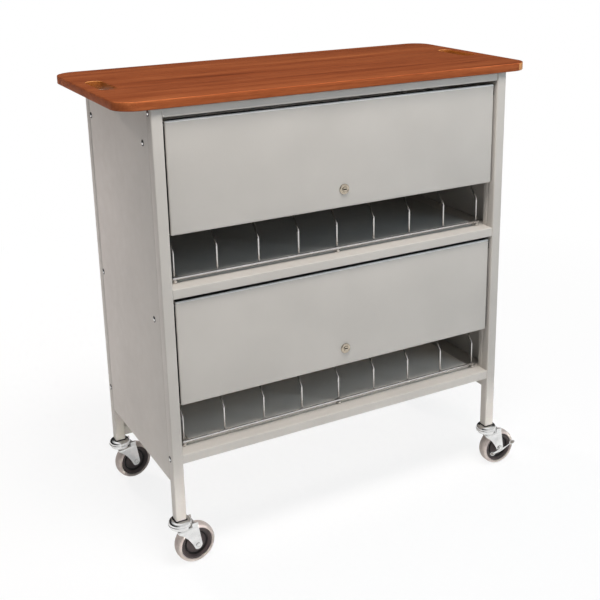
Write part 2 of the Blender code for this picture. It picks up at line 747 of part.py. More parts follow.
def make_lock(tier, lock):
    """Barrel, nut and plug with cam. Local +Z points out of the door's front face, which is at zero."""
    face = GAP + LOCK_FACE_THICKNESS
    rim = LOCK_FACE_THICKNESS / 2
    bore = clear_bore(LOCK_PLUG_RADIUS, TURN_STEPS)
    back = GAP - LOCK_BODY_LENGTH
    barrel = turned(f"{tier}_lock_barrel", [
        (bore, face),
        (LOCK_FACE_RADIUS - rim, face),
        (LOCK_FACE_RADIUS, face - rim),
        (LOCK_FACE_RADIUS, GAP),
        (LOCK_BODY_RADIUS, GAP),
        (LOCK_BODY_RADIUS, back),
        (bore, back),
    ], TURN_STEPS, closed=True)
    barrel.parent = lock
    finish_piece(barrel, NICKEL)

    nut_front = -SHEET - GAP
    corner = LOCK_NUT_ACROSS / 2 / math.cos(math.pi / HEXAGON_SIDES)
    hexagon = arc((0, 0), corner, 0, FULL_TURN, HEXAGON_SIDES)[:-1]
    hole = arc((0, 0), clear_bore(LOCK_BODY_RADIUS, TURN_STEPS), 0, FULL_TURN, TURN_STEPS)[:-1]
    nut = plate(f"{tier}_lock_nut", [hexagon, hole], nut_front - LOCK_NUT_THICKNESS, nut_front)
    nut.parent = lock
    finish_piece(nut, ZINC)

    plug_front = face + LOCK_PLUG_PROUD
    cam_front = back - CAM_STANDOFF
    cam_back = cam_front - CAM_THICKNESS
    plug_ends = (0, 0, plug_front), (0, 0, cam_front - CAM_THICKNESS / 2)
    plug = cylinder(f"{tier}_lock_plug", *plug_ends, LOCK_PLUG_RADIUS, TURN_STEPS)
    half = CAM_WIDTH / 2
    tip = half * CAM_TIP_SHARE
    cam_outline = arc((0, 0), half, -math.pi / 2, math.pi / 2, 2 * BEND_STEPS)
    cam_outline += [(tip - CAM_LENGTH, half), (-CAM_LENGTH, tip)]
    cam_outline += [(-CAM_LENGTH, -tip), (tip - CAM_LENGTH, -half)]
    cam = plate(f"{tier}_lock_cam", [cam_outline], cam_back, cam_front)
    keyway = block(
        f"{tier}_keyway",
        (-KEYWAY_LENGTH / 2, -KEYWAY_WIDTH / 2, plug_front - KEYWAY_DEPTH),
        (KEYWAY_LENGTH / 2, KEYWAY_WIDTH / 2, plug_front + CUT_OVERRUN),
    )
    for tool, operation in ((cam, "UNION"), (keyway, "DIFFERENCE")):
        tool.parent = lock
        boolean(plug, tool, operation)
    plug.parent = lock
    finish_piece(plug, NICKEL)


def make_slide(tier, door_top, side, sx):
    """A lipped channel on the side panel and the carriage that runs in it with the door's hinge pin."""
    middle = door_top - SLIDE_BELOW_DOOR_TOP
    half = RAIL_HEIGHT / 2
    back = PANEL_INSIDE_X - GAP
    mouth = back - RAIL_DEPTH
    slot = half - RAIL_LIP
    channel = [
        (back, middle - half), (back, middle + half), (mouth, middle + half), (mouth, middle + slot),
        (mouth + RAIL_WALL, middle + slot), (mouth + RAIL_WALL, middle + half - RAIL_WALL),
        (back - RAIL_WALL, middle + half - RAIL_WALL), (back - RAIL_WALL, middle - half + RAIL_WALL),
        (mouth + RAIL_WALL, middle - half + RAIL_WALL), (mouth + RAIL_WALL, middle - slot),
        (mouth, middle - slot), (mouth, middle - half),
    ]
    rail_front = FRONT + NOTCH_BACK + RAIL_END_MARGIN
    rail_back = BACK - NOTCH_BACK - RAIL_END_MARGIN
    outline = [(sx * x, z) for x, z in channel]
    finish_piece(plate(f"{tier}_slide_rail_{side}", [outline], rail_front, rail_back, "Y"), ZINC)

    head_half = half - RAIL_WALL - GAP
    neck_half = slot - GAP
    head_in = mouth + RAIL_WALL + GAP
    head_out = head_in + CARRIAGE_BAR_THICKNESS
    ear_in = DOOR_HALF_WIDTH + (DOOR_SIDE_GAP - EAR_THICKNESS) / 2
    ear_out = ear_in + EAR_THICKNESS
    neck_in = mouth - EAR_THICKNESS
    tee = [
        (head_out, middle - head_half), (head_out, middle + head_half), (head_in, middle + head_half),
        (head_in, middle + neck_half), (neck_in, middle + neck_half), (neck_in, middle - neck_half),
        (head_in, middle - neck_half), (head_in, middle - head_half),
    ]
    bar_front = FRONT + NOTCH_BACK + CARRIAGE_START
    name = f"{tier}_carriage_{side}"
    bar = plate(name, [[(sx * x, z) for x, z in tee]], bar_front, bar_front + CARRIAGE_BAR_LENGTH, "Y")

    pin_z = door_top - HINGE_INSET
    foot_low, foot_high = middle - neck_half, middle + neck_half
    ear_back = bar_front + EAR_LENGTH
    eye = arc((HINGE_Y, pin_z), EAR_RADIUS, math.pi, math.pi / 4, 2 * BEND_STEPS)
    ear_outline = eye + [(ear_back, foot_high), (ear_back, foot_low), (bar_front, foot_low)]
    ear_outline.append((HINGE_Y - EAR_RADIUS, pin_z - EAR_FRONT_SLOPE))
    xs = sorted((sx * ear_in, sx * ear_out))
    ear = plate(f"{name}_ear", [ear_outline], xs[0], xs[1], "X")
    xs = sorted((sx * (ear_out - EAR_THICKNESS / 2), sx * (neck_in + EAR_THICKNESS / 2)))
    spacer_front = FRONT + NOTCH_FRONT + CARRIAGE_START
    spacer = block(
        f"{name}_spacer",
        (xs[0], spacer_front, foot_low + GAP),
        (xs[1], spacer_front + CARRIAGE_SPACER_LENGTH, foot_high - GAP),
    )
    head_far = DOOR_HALF_WIDTH - SHEET - GAP - HINGE_PIN_HEAD
    xs = [sx * (ear_out - EAR_THICKNESS / 2), sx * (head_far + HINGE_PIN_HEAD / 2)]
    pin = cylinder(f"{name}_pin", *[(x, HINGE_Y, pin_z) for x in xs], HINGE_PIN_RADIUS, PIN_STEPS)
    xs = [sx * head_far, sx * (head_far + HINGE_PIN_HEAD)]
    head_ends = [(x, HINGE_Y, pin_z) for x in xs]
    head = cylinder(f"{name}_pin_head", *head_ends, HINGE_PIN_HEAD_RADIUS, PIN_STEPS)
    for piece in (spacer, ear, pin, head):
        boolean(bar, piece, "UNION")
    finish_piece(bar, ZINC)


def make_caster(name, x, y, angle, braked):
    """A swivel caster. Its pieces stand on an empty whose +X is the way the wheel trails."""
    swivel = bpy.data.objects.new(f"swivel_axis_{name}", None)
    swivel.location = (x, y, 0)
    swivel.rotation_euler = (0, 0, angle)
    RACK.objects.link(swivel)
    axle_line = bpy.data.objects.new(f"wheel_axis_{name}", None)
    axle_line.location = (CASTER_TRAIL, 0, WHEEL_RADIUS)
    axle_line.rotation_euler = (math.pi / 2, 0, 0)
    axle_line.parent = swivel
    RACK.objects.link(axle_line)
    make_stem(name, x, y)
    make_fork(name, swivel)
    make_axle(name, axle_line, braked)
    make_wheel(name, axle_line)
    if braked:
        make_brake(name, axle_line)


def make_stem(name, x, y):
    """Stem, cup and kingpin in one, fixed in the post."""
    top = CASTER_HEIGHT + STEM_LENGTH
    seat = CASTER_HEIGHT - GAP
    stem_radius = POST_SIZE / 2 - POST_WALL - GAP
    rim = CASTER_HEIGHT + CUP_RIM
    bottom = rim - CUP_HEIGHT
    under = seat - CUP_FLOOR
    stem = turned(f"caster_stem_{name}", [
        (0, top),
        (stem_radius, top),
        (stem_radius, seat),
        (CUP_RADIUS - 2 * CUP_WALL, seat),
        (CUP_RADIUS - CUP_WALL, rim),
        (CUP_RADIUS, rim - CUP_HEIGHT * CUP_SLOPE_SHARE),
        (CUP_RADIUS, bottom + CUP_WALL),
        (CUP_RADIUS - CUP_WALL, bottom),
        (CUP_RADIUS - CUP_WALL, under),
        (KINGPIN_RADIUS, under),
        (KINGPIN_RADIUS, FORK_TOP - FORK_GAUGE - GAP),
        (KINGPIN_HEAD_RADIUS, FORK_TOP - FORK_GAUGE - GAP),
        (KINGPIN_HEAD_RADIUS, FORK_TOP - FORK_GAUGE - GAP - KINGPIN_HEAD),
        (0, FORK_TOP - FORK_GAUGE - GAP - KINGPIN_HEAD),
    ], TURN_STEPS)
    stem.location = (x, y, 0)
    finish_piece(stem, ZINC)


def make_fork(name, swivel):
    """A fork pressed from one sheet: a channel bent over the wheel, trimmed by its side outline."""
    centre = (FORK_HALF - FORK_BEND_RADIUS, FORK_TOP - FORK_BEND_RADIUS)
    low = WHEEL_RADIUS - FORK_LEG_END_RADIUS - CUT_OVERRUN
    half = [(FORK_HALF, low), *arc(centre, FORK_BEND_RADIUS, 0, math.pi / 2, BEND_STEPS)]
    section = half + [(-y, z) for y, z in reversed(half)]
    back = CASTER_TRAIL + FORK_LEG_END_RADIUS + CUT_OVERRUN
    fork = gauge(folded(f"fork_{name}", section, -FORK_FRONT_REACH - CUT_OVERRUN, back, "X"), FORK_GAUGE)

    axle = (CASTER_TRAIL, WHEEL_RADIUS)
    end = FORK_LEG_END_RADIUS
    brow = FORK_TOP + CUT_OVERRUN
    side = arc(axle, end, math.radians(-140), math.radians(15), 2 * BEND_STEPS)
    side.append((FORK_BACK_REACH, brow))
    brow_end = Vector((-FORK_FRONT_REACH, FORK_TOP - FORK_BROW_DROP))
    side += [(-FORK_FRONT_REACH, brow), tuple(brow_end)]
    run = Vector(side[0]) - brow_end
    inward = Vector((-run.y, run.x)).normalized()
    for along, depth in FORK_WAIST_SHARES:
        side.append(tuple(brow_end + run * along + inward * FORK_WAIST * depth))
    width = FORK_HALF + CUT_OVERRUN
    trim = plate(f"fork_trim_{name}", [side], -width, width, "Y")
    trim.parent = swivel
    boolean(fork, trim, "INTERSECT")

    race_top = CASTER_HEIGHT + CUP_RIM - CUP_HEIGHT + CUP_WALL
    ends = (0, 0, FORK_TOP - FORK_GAUGE / 2), (0, 0, race_top)
    race = cylinder(f"race_{name}", *ends, RACE_RADIUS, TURN_STEPS)
    lip_x = CUP_RADIUS + FORK_LIP_GAP
    lip = block(
        f"fork_lip_{name}",
        (lip_x, -FORK_LIP_WIDTH / 2, FORK_TOP - FORK_GAUGE),
        (lip_x + FORK_GAUGE, FORK_LIP_WIDTH / 2, FORK_TOP + FORK_LIP_HEIGHT),
    )
    ends = (0, 0, FORK_TOP - CUT_OVERRUN), (0, 0, race_top + CUT_OVERRUN)
    bore = cylinder(f"kingpin_bore_{name}", *ends, clear_bore(KINGPIN_RADIUS, PIN_STEPS), PIN_STEPS)
    ends = (CASTER_TRAIL, -width, WHEEL_RADIUS), (CASTER_TRAIL, width, WHEEL_RADIUS)
    holes = cylinder(f"axle_holes_{name}", *ends, clear_bore(AXLE_RADIUS, PIN_STEPS), PIN_STEPS)
    for tool, operation in ((race, "UNION"), (lip, "UNION"), (bore, "DIFFERENCE"), (holes, "DIFFERENCE")):
        tool.parent = swivel
        boolean(fork, tool, operation)
    fork.parent = swivel
    finish_piece(smooth(fork), ZINC)


def make_axle(name, axle_line, braked):
    """A bolt through both legs. Local +Z points to the side that carries the brake lever."""
    near = FORK_HALF + GAP + (BRAKE_GAUGE + GAP if braked else 0)
    far = FORK_HALF + GAP
    head = AXLE_HEAD_RADIUS
    axle = turned(f"axle_{name}", [
        (0, near + AXLE_HEAD),
        (head / 2, near + AXLE_HEAD),
        (head, near + AXLE_HEAD / 2),
        (head, near),
        (AXLE_RADIUS, near),
        (AXLE_RADIUS, -far),
        (head, -far),
        (head, -far - AXLE_HEAD),
        (0, -far - AXLE_HEAD),
    ], PIN_STEPS)
    axle.parent = axle_line
    finish_piece(axle, ZINC)


def make_wheel(name, axle_line):
    """Hub and tyre, turned so that a flat of the faceted tread lies on the floor."""
    corner = 1 / math.cos(math.pi / WHEEL_STEPS)
    seat = WHEEL_RADIUS - TYRE_THICKNESS
    boss = FORK_INSIDE_WIDTH / 2 - HUB_SIDE_GAP
    bore = clear_bore(AXLE_RADIUS, WHEEL_STEPS)
    web_out = seat * HUB_WEB_SHARE
    half = [
        (bore, boss),
        (HUB_BOSS_RADIUS, boss),
        (HUB_BOSS_RADIUS, HUB_WEB_HALF),
        (web_out, HUB_WEB_HALF),
        (seat - GAP, HUB_RIM_HALF),
    ]
    profile = half + [(r, -z) for r, z in reversed(half)]
    profile = [(r * corner if r > bore else r, z) for r, z in profile]
    hub = turned(f"hub_{name}", profile, WHEEL_STEPS, closed=True)
    width = TREAD_WIDTH / 2
    ease = TYRE_SHOULDER * TYRE_SHOULDER_SHARE
    half = [
        (seat, width - ease),
        (WHEEL_RADIUS - ease, width - ease),
        (WHEEL_RADIUS, width - TYRE_SHOULDER),
    ]
    profile = half + [(r, -z) for r, z in reversed(half)]
    tyre = turned(f"tyre_{name}", [(r * corner, z) for r, z in profile], WHEEL_STEPS, closed=True)
    for piece, finish in ((hub, HUB_BROWN), (tyre, TYRE_GREY)):
        piece.rotation_euler = (0, 0, math.pi / WHEEL_STEPS)
        piece.parent = axle_line
        finish_piece(piece, finish)


def make_brake(name, axle_line):
    """A rocking foot lever on the axle, outside the fork: a pad to press down and a tail to let go."""
    low = FORK_HALF + GAP
    high = low + BRAKE_GAUGE
    out = low + BRAKE_PAD_WIDTH
    arm = BRAKE_ARM / 2
    tail_x, tail_y = -BRAKE_TAIL, -BRAKE_TAIL_DROP
    outline = arc((0, 0), BRAKE_EYE_RADIUS, math.radians(50), math.radians(170), BEND_STEPS)
    outline += arc((tail_x, tail_y), arm, math.radians(110), math.radians(290), BEND_STEPS)
    outline += arc((0, 0), BRAKE_EYE_RADIUS, math.radians(245), math.radians(320), 2)
    outline += [(BRAKE_REACH, BRAKE_RISE - arm), (BRAKE_REACH, BRAKE_RISE + arm)]
    hole = arc((0, 0), clear_bore(AXLE_RADIUS, PIN_STEPS), 0, FULL_TURN, PIN_STEPS)[:-1]
    lever = plate(f"brake_lever_{name}", [outline, hole], low, high)
    pad_top = BRAKE_RISE + arm
    pad_low = (BRAKE_REACH - BRAKE_PAD_LENGTH, pad_top - BRAKE_GAUGE, low)
    toe_low = (tail_x - arm / 2, tail_y - BRAKE_GAUGE / 2, low)
    toe_high = (tail_x + arm / 2, tail_y + BRAKE_GAUGE / 2, out)
    for tool in (
        block(f"brake_pad_{name}", pad_low, (BRAKE_REACH, pad_top, out)),
        block(f"brake_toe_{name}", toe_low, toe_high),
    ):
        tool.parent = axle_line
        boolean(lever, tool, "UNION")
    lever.parent = axle_line
    finish_piece(lever, ZINC)


def make_rack_assembly():
    make_worktop()
    make_frame()
    for tier, (shelf, door_top) in TIERS.items():
        make_base(tier, shelf)
        make_rack(tier, shelf, door_top)
        make_feet(tier, shelf)
        make_door(tier, door_top)
        for side, sx in SIDES.items():
            make_slide(tier, door_top, side, sx)
    for name, (sx, sy, angle, braked) in CASTERS.items():
        make_caster(name, sx * POST_X, post_y(sy), angle, braked)


make_rack_assembly()
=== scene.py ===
"""Looks of the medical chart rack: materials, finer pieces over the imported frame, light and camera."""
import json
import math

import bmesh
import bpy
from mathutils import Matrix, Vector


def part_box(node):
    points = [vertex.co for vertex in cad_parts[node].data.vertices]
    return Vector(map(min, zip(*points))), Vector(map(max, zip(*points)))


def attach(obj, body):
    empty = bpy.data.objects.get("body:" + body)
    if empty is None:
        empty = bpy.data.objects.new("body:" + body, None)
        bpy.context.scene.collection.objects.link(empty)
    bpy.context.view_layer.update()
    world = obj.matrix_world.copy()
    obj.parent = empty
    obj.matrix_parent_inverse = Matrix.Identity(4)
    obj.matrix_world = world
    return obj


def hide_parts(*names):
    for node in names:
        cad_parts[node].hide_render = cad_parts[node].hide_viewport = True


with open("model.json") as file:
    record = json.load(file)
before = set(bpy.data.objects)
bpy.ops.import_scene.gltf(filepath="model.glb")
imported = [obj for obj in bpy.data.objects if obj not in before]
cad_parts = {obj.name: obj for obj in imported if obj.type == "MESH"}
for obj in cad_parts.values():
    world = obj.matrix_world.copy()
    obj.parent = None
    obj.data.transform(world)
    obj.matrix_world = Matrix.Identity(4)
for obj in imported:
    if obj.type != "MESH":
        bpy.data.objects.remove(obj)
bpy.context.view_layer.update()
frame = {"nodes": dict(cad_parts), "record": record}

NODES = frame["nodes"]
TIERS = ("upper", "lower")
CASTER_TURN = {"front_left": 5, "front_right": -3, "rear_left": 9, "rear_right": 4}
BRAKED = ("front_right", "rear_right")

# lengths in metres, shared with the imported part
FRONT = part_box("post_front_left")[0].y
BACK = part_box("post_rear_left")[1].y
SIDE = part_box("post_front_right")[1].x
SHELF = {tier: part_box(node)[1].z for tier, node in
         (("upper", "middle_shelf"), ("lower", "bottom_shelf"))}
POST = 0.0254
TUBE_WALL = 0.0015
INSIDE = SIDE - POST
PANEL = SIDE - 0.0005
STEM = 0.0108
CAM = 0.002
LOCK_HOLE = 0.0099
SHEET = 0.0012
SHEET_BEND = 0.0024
GAP = 0.0003
OVERRUN = 0.005
PITCH = 0.1016
DIVIDERS = 9
RACK_HALF = PITCH * 4
FOOT_AT = (0, 4, 8)
ROD = 0.003
WIRE = 0.0023
WELD = 0.0008
ROD_Y = FRONT + 0.0394
ROD_LIFT = 0.0105
WIRE_LIFT = 0.0096
WIRE_BACK = FRONT + 0.412
WIRE_TOP = 0.235
KINK = 0.069
LEAN = math.tan(math.radians(40))
TRAIL = 0.034
AXLE_Z = 0.048
MERGE = 1e-6
UP, DOWN, AHEAD, BEHIND = (0, 0, 1), (0, 0, -1), (0, -1, 0), (0, 1, 0)


def make_camera():
    data = bpy.data.cameras.new("camera")
    data.sensor_width = 36
    data.lens = 60.79
    data.shift_x = -0.05
    data.shift_y = -0.13
    data.clip_start = 0.05
    data.clip_end = 60
    data.dof.use_dof = False
    camera = bpy.data.objects.new("camera", data)
    camera.location = (-1.12197, -2.14946, 1.43937)
    camera.rotation_euler = [math.radians(a) for a in (73.0778, 0.6746, -29.5263)]
    bpy.context.scene.collection.objects.link(camera)
    bpy.context.scene.camera = camera


def srgb(r, g, b):
    """A linear colour from 0-255 screen values."""
    made = []
    for v in (r, g, b):
        v /= 255
        made.append(v / 12.92 if v <= 0.04045 else ((v + 0.055) / 1.055) ** 2.4)
    return (*made, 1.0)


def scaled(colour, times):
    """A colour made lighter or darker."""
    return tuple(min(1, c * times) for c in colour[:3]) + (1,)


class Graph:
    """Short calls for the nodes of one material or world."""

    def __init__(self, tree):
        self.tree = tree

    def node(self, kind, **sockets):
        made = self.tree.nodes.new("ShaderNode" + kind)
        for socket, value in sockets.items():
            made.inputs[socket.replace("_", " ")].default_value = value
        return made

    def feed(self, value, socket):
        """Sets a socket to a number, or links an output to it."""
        if isinstance(value, (float, int)):
            socket.default_value = value
        else:
            self.tree.links.new(value, socket)

    def math(self, way, a, b):
        node = self.node("Math")
        node.operation = way
        self.feed(a, node.inputs[0])
        self.feed(b, node.inputs[1])
        return node.outputs[0]

    def span(self, value, low, high, to_low=0.0, to_high=1.0):
        """Carries a value from one range to another."""
        node = self.node("MapRange", From_Min=low, From_Max=high, To_Min=to_low, To_Max=to_high)
        self.feed(value, node.inputs["Value"])
        return node.outputs["Result"]

    def mixed(self, share, first, second):
        """The first shader, and the second by a share."""
        node = self.node("MixShader")
        for index, value in enumerate((share, first, second)):
            self.feed(value, node.inputs[index])
        return node.outputs[0]


class Finish(Graph):
    """A material with a Principled shader, and short calls for its texture nodes."""

    def __init__(self, name, roughness=0.5, metallic=0.0, specular=0.5):
        self.material = bpy.data.materials.new(name)
        self.material.use_nodes = True
        super().__init__(self.material.node_tree)
        self.shader = self.tree.nodes["Principled BSDF"]
        self.shader.inputs["Roughness"].default_value = roughness
        self.shader.inputs["Metallic"].default_value = metallic
        self.shader.inputs["Specular IOR Level"].default_value = specular
        self.place = self.node("TexCoord").outputs["Object"]

    def stretched(self, *scale):
        mapping = self.node("Mapping", Scale=scale)
        self.feed(self.place, mapping.inputs["Vector"])
        return mapping.outputs["Vector"]

    def noise(self, scale, detail=3.0, rough=0.5, warp=0.0, where=None):
        node = self.node("TexNoise", Scale=scale, Detail=detail, Roughness=rough, Distortion=warp)
        self.feed(where or self.place, node.inputs["Vector"])
        return node.outputs["Fac"]

    def cells(self, scale):
        node = self.node("TexVoronoi", Scale=scale)
        self.feed(self.place, node.inputs["Vector"])
        return node.outputs["Distance"]

    def ramp(self, fac, *stops):
        """Colours by a factor. A stop's colour may be one grey value."""
        node = self.node("ValToRGB")
        ramp = node.color_ramp
        while len(ramp.elements) < len(stops):
            ramp.elements.new(0.5)
        for element, (at, colour) in zip(ramp.elements, stops):
            element.position = at
            element.color = colour if isinstance(colour, tuple) else (colour, colour, colour, 1)
        self.feed(fac, node.inputs["Fac"])
        return node.outputs["Color"]

    def multiplied(self, a, b):
        """Two colours multiplied."""
        node = self.node("Mix")
        node.data_type = "RGBA"
        node.blend_type = "MULTIPLY"
        for value, index in ((1.0, 0), (a, 6), (b, 7)):
            self.feed(value, node.inputs[index])
        return node.outputs[2]

    def bump(self, height, distance, strength):
        node = self.node("Bump", Distance=distance, Strength=strength)
        self.feed(height, node.inputs["Height"])
        return node.outputs["Normal"]

    def set(self, colour, roughness, normal):
        for value, socket in ((colour, "Base Color"), (roughness, "Roughness"), (normal, "Normal")):
            self.feed(value, self.shader.inputs[socket])
        return self.material


def paint(name, colour, seed=0.0):
    """Baked powder coat: a fine orange peel, faint cloudiness and a few rubbed places."""
    f = Finish(name, 0.42, specular=0.35)
    peel = f.noise(900, 2, 0.45)
    cloud = f.noise(5 + seed, 3, 0.5)
    base = f.ramp(cloud, (0.3, scaled(colour, 0.955)), (0.7, scaled(colour, 1.045)))
    speck = f.ramp(f.noise(2600, 1, 0.5), (0.35, 0.94), (0.6, 1.0))
    rough = f.span(f.noise(38, 4, 0.6), 0.3, 0.7, 0.36, 0.50)
    return f.set(f.multiplied(base, speck), rough, f.bump(peel, 0.00006, 0.6))


def laminate(name, lift=1.0):
    """Cherry laminate: long streaks along X with fine pores and a low sheen."""
    f = Finish(name, 0.46, specular=0.06)
    wide = f.noise(1.0, 4, 0.55, 0.6, f.stretched(1.6, 30, 30))
    fine = f.noise(1.0, 5, 0.65, 0.4, f.stretched(7, 170, 170))
    pores = f.noise(1.0, 2, 0.5, 0.0, f.stretched(34, 1500, 1500))
    figure = f.math("ADD", f.math("MULTIPLY", wide, 0.55), f.math("MULTIPLY", fine, 0.45))
    shades = ((0.34, (100, 47, 24)), (0.45, (126, 64, 34)), (0.55, (138, 74, 41)),
              (0.68, (158, 91, 52)))
    base = f.ramp(figure, *[(spot, scaled(srgb(*shade), lift)) for spot, shade in shades])
    grain = f.ramp(pores, (0.36, 0.70), (0.5, 1.0))
    rough = f.span(fine, 0.3, 0.7, 0.40, 0.54)
    return f.set(f.multiplied(base, grain), rough, f.bump(pores, 0.00005, 0.5))


def core():
    """The sealed cut wall of a hand hold: an orange-brown chip core."""
    f = Finish("hand_hold_wall")
    chips = f.cells(420)
    base = f.ramp(chips, (0.1, srgb(120, 60, 14)), (0.5, srgb(150, 80, 20)), (0.9, srgb(172, 100, 36)))
    return f.set(base, f.span(f.noise(60), 0.3, 0.7, 0.42, 0.6), f.bump(chips, 0.0002, 0.5))


def metal(name, colour, rough, scratch):
    """Plated metal with polish marks and a slightly cloudy shine."""
    f = Finish(name, rough, 1.0)
    cloud = f.noise(24, 3, 0.6)
    marks = f.noise(1.0, 3, 0.6, 0.0, f.stretched(*scratch))
    base = f.ramp(cloud, (0.35, scaled(colour, 0.88)), (0.65, colour))
    shine = f.span(f.math("MULTIPLY", cloud, marks), 0.12, 0.4, rough * 0.75, rough * 1.5)
    return f.set(base, shine, f.bump(marks, 0.00002, 0.5))


def zinc(name, colour, rough):
    """Bright zinc plate over pressed steel: soft cloudy shine and faint drawing lines."""
    f = Finish(name, rough, 1.0)
    cloud = f.noise(46, 3, 0.55)
    lines = f.noise(1.0, 2, 0.5, 0.0, f.stretched(90, 90, 700))
    base = f.ramp(cloud, (0.3, scaled(colour, 0.84)), (0.62, colour))
    return f.set(base, f.span(cloud, 0.3, 0.7, rough * 0.8, rough * 1.3), f.bump(lines, 0.000006, 0.5))


def rubber(name, lift=1.0):
    """Grey non-marking rubber with a little dust."""
    f = Finish(name, 0.62)
    dust = f.noise(70, 4, 0.6)
    grit = f.noise(1500, 2, 0.5)
    shades = ((0.3, (164, 152, 145)), (0.55, (181, 170, 163)), (0.75, (195, 185, 178)))
    base = f.ramp(dust, *[(spot, scaled(srgb(*shade), lift)) for spot, shade in shades])
    return f.set(base, f.span(dust, 0.3, 0.7, 0.52, 0.72), f.bump(grit, 0.00012, 0.7))


def plastic(name, colour, rough=0.45):
    """Moulded plastic, a little cloudy, with a fine grain."""
    f = Finish(name, rough)
    cloud = f.noise(90, 3, 0.5)
    grain = f.noise(1300, 2)
    base = f.ramp(cloud, (0.3, colour), (0.7, scaled(colour, 1.15)))
    return f.set(base, f.span(cloud, 0.3, 0.7, rough * 0.85, rough * 1.2), f.bump(grain, 0.00008, 0.6))


def dressed(piece, finish, body, *nodes, angle=32):
    """Gives a piece its finishes, smooth but for its sharp edges, and rides it on a body for CAD nodes."""
    mesh = piece.data
    if len(mesh.materials):
        mesh.materials.clear()
    for one in finish if isinstance(finish, tuple) else (finish,):
        mesh.materials.append(one)
    mesh.shade_smooth()
    mesh.set_sharp_from_angle(angle=math.radians(angle))
    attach(piece, body)
    if nodes:
        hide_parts(*nodes)
    return piece


def baked(piece):
    """Applies a piece's modifiers and removes its cutters."""
    bpy.context.view_layer.update()
    cutters = [m.object for m in piece.modifiers if m.type == "BOOLEAN"]
    evaluated = piece.evaluated_get(bpy.context.evaluated_depsgraph_get())
    mesh = bpy.data.meshes.new_from_object(evaluated)
    piece.modifiers.clear()
    old = piece.data
    piece.data = mesh
    bpy.data.meshes.remove(old)
    for cutter in cutters:
        bpy.data.objects.remove(cutter, do_unlink=True)
    return piece


def linked(name, bm):
    """A piece in the scene made of a bmesh."""
    mesh = bpy.data.meshes.new(name)
    bm.to_mesh(mesh)
    bm.free()
    piece = bpy.data.objects.new(name, mesh)
    bpy.context.scene.collection.objects.link(piece)
    return piece


def loose(name, bm):
    """A piece of a bmesh whose faces all look outwards, not yet dressed."""
    bmesh.ops.recalc_face_normals(bm, faces=bm.faces)
    return linked(name, bm)


def solid(name, bm, finish, body, *nodes, angle=32):
    return dressed(loose(name, bm), finish, body, *nodes, angle=angle)


def carve(piece, cutter, operation="DIFFERENCE"):
    modifier = piece.modifiers.new("cut", "BOOLEAN")
    modifier.operation = operation
    modifier.solver = "EXACT"
    modifier.object = cutter


def box_mesh(bm, low, high, ease=0.0):
    low, high = Vector(low), Vector(high)
    place = Matrix.Translation((low + high) / 2) @ Matrix.Diagonal((*(high - low), 1))
    made = bmesh.ops.create_cube(bm, size=1, matrix=place)
    if ease:
        edges = list(dict.fromkeys(e for v in made["verts"] for e in v.link_edges))
        bmesh.ops.bevel(bm, geom=edges, offset=ease, segments=2, profile=0.5, affect="EDGES")


def cut_box(piece, low, high):
    bm = bmesh.new()
    box_mesh(bm, low, high)
    carve(piece, loose("cutter", bm))


def drill(piece, a, b, radius, steps):
    """Cuts a round hole from one point to another."""
    a, b = Vector(a), Vector(b)
    turn = (b - a).to_track_quat("Z", "Y").to_matrix().to_4x4()
    bm = bmesh.new()
    bmesh.ops.create_cone(bm, cap_ends=True, segments=steps, radius1=radius, radius2=radius,
                          depth=(b - a).length, matrix=Matrix.Translation((a + b) / 2) @ turn)
    carve(piece, loose("cutter", bm))


def thicken(piece, thickness, side=-1):
    """Gives a surface the thickness of its sheet."""
    gauge = piece.modifiers.new("gauge", "SOLIDIFY")
    gauge.thickness = thickness
    gauge.offset = side
    gauge.use_even_offset = True


def turned(name, profile, steps, place=Matrix.Identity(4)):
    """A loose piece of (radius, height) points turned round Z. Points at radius 0 become poles."""
    bm = bmesh.new()
    rings = []
    for radius, height in profile:
        turns = [math.tau * i / steps for i in range(steps)] if radius else [0]
        rings.append([bm.verts.new(place @ Vector((radius * math.cos(a), radius * math.sin(a), height)))
                      for a in turns])
    pairs = list(zip(rings, rings[1:]))
    if profile[0][0] and profile[-1][0]:
        pairs.append((rings[-1], rings[0]))
    for a, b in pairs:
        for i in range(steps):
            j = (i + 1) % steps
            corners = [a[i % len(a)], a[j % len(a)], b[j % len(b)], b[i % len(b)]]
            corners = list(dict.fromkeys(corners))
            if len(corners) > 2:
                bm.faces.new(corners)
    return loose(name, bm)


def sweep(bm, path, radius, sides=12, domes=True):
    """A round wire along a path, with domed ends."""
    path = [Vector(p) for p in path]
    ways = []
    for i in range(len(path)):
        a, b = path[max(i - 1, 0)], path[min(i + 1, len(path) - 1)]
        ways.append((b - a).normalized())
    across = ways[0].orthogonal().normalized()
    stations = [(p, w, 1.0) for p, w in zip(path, ways)]
    if domes:
        rise = 0.6
        turns = (0.5, 1.0, 1.4)
        first, last = ways[0], ways[-1]
        before = [(path[0] - first * radius * rise * math.sin(t), first, math.cos(t)) for t in turns]
        after = [(path[-1] + last * radius * rise * math.sin(t), last, math.cos(t)) for t in turns]
        stations = before[::-1] + stations + after
    rings = []
    last = stations[0][1]
    for place, way, size in stations:
        across = last.rotation_difference(way) @ across
        last = way
        side = way.cross(across)
        turns = [math.tau * k / sides for k in range(sides)]
        rings.append([bm.verts.new(place + (across * math.cos(a) + side * math.sin(a)) * radius * size)
                      for a in turns])
    for a, b in zip(rings, rings[1:]):
        for i in range(sides):
            j = (i + 1) % sides
            bm.faces.new((a[i], a[j], b[j], b[i]))
    bm.faces.new(rings[0][::-1])
    bm.faces.new(rings[-1])


def bead(bm, place, size):
    """A weld bead: a squashed ball."""
    bmesh.ops.create_icosphere(bm, subdivisions=2, radius=1,
                               matrix=Matrix.Translation(place) @ Matrix.Diagonal((*size, 1)))


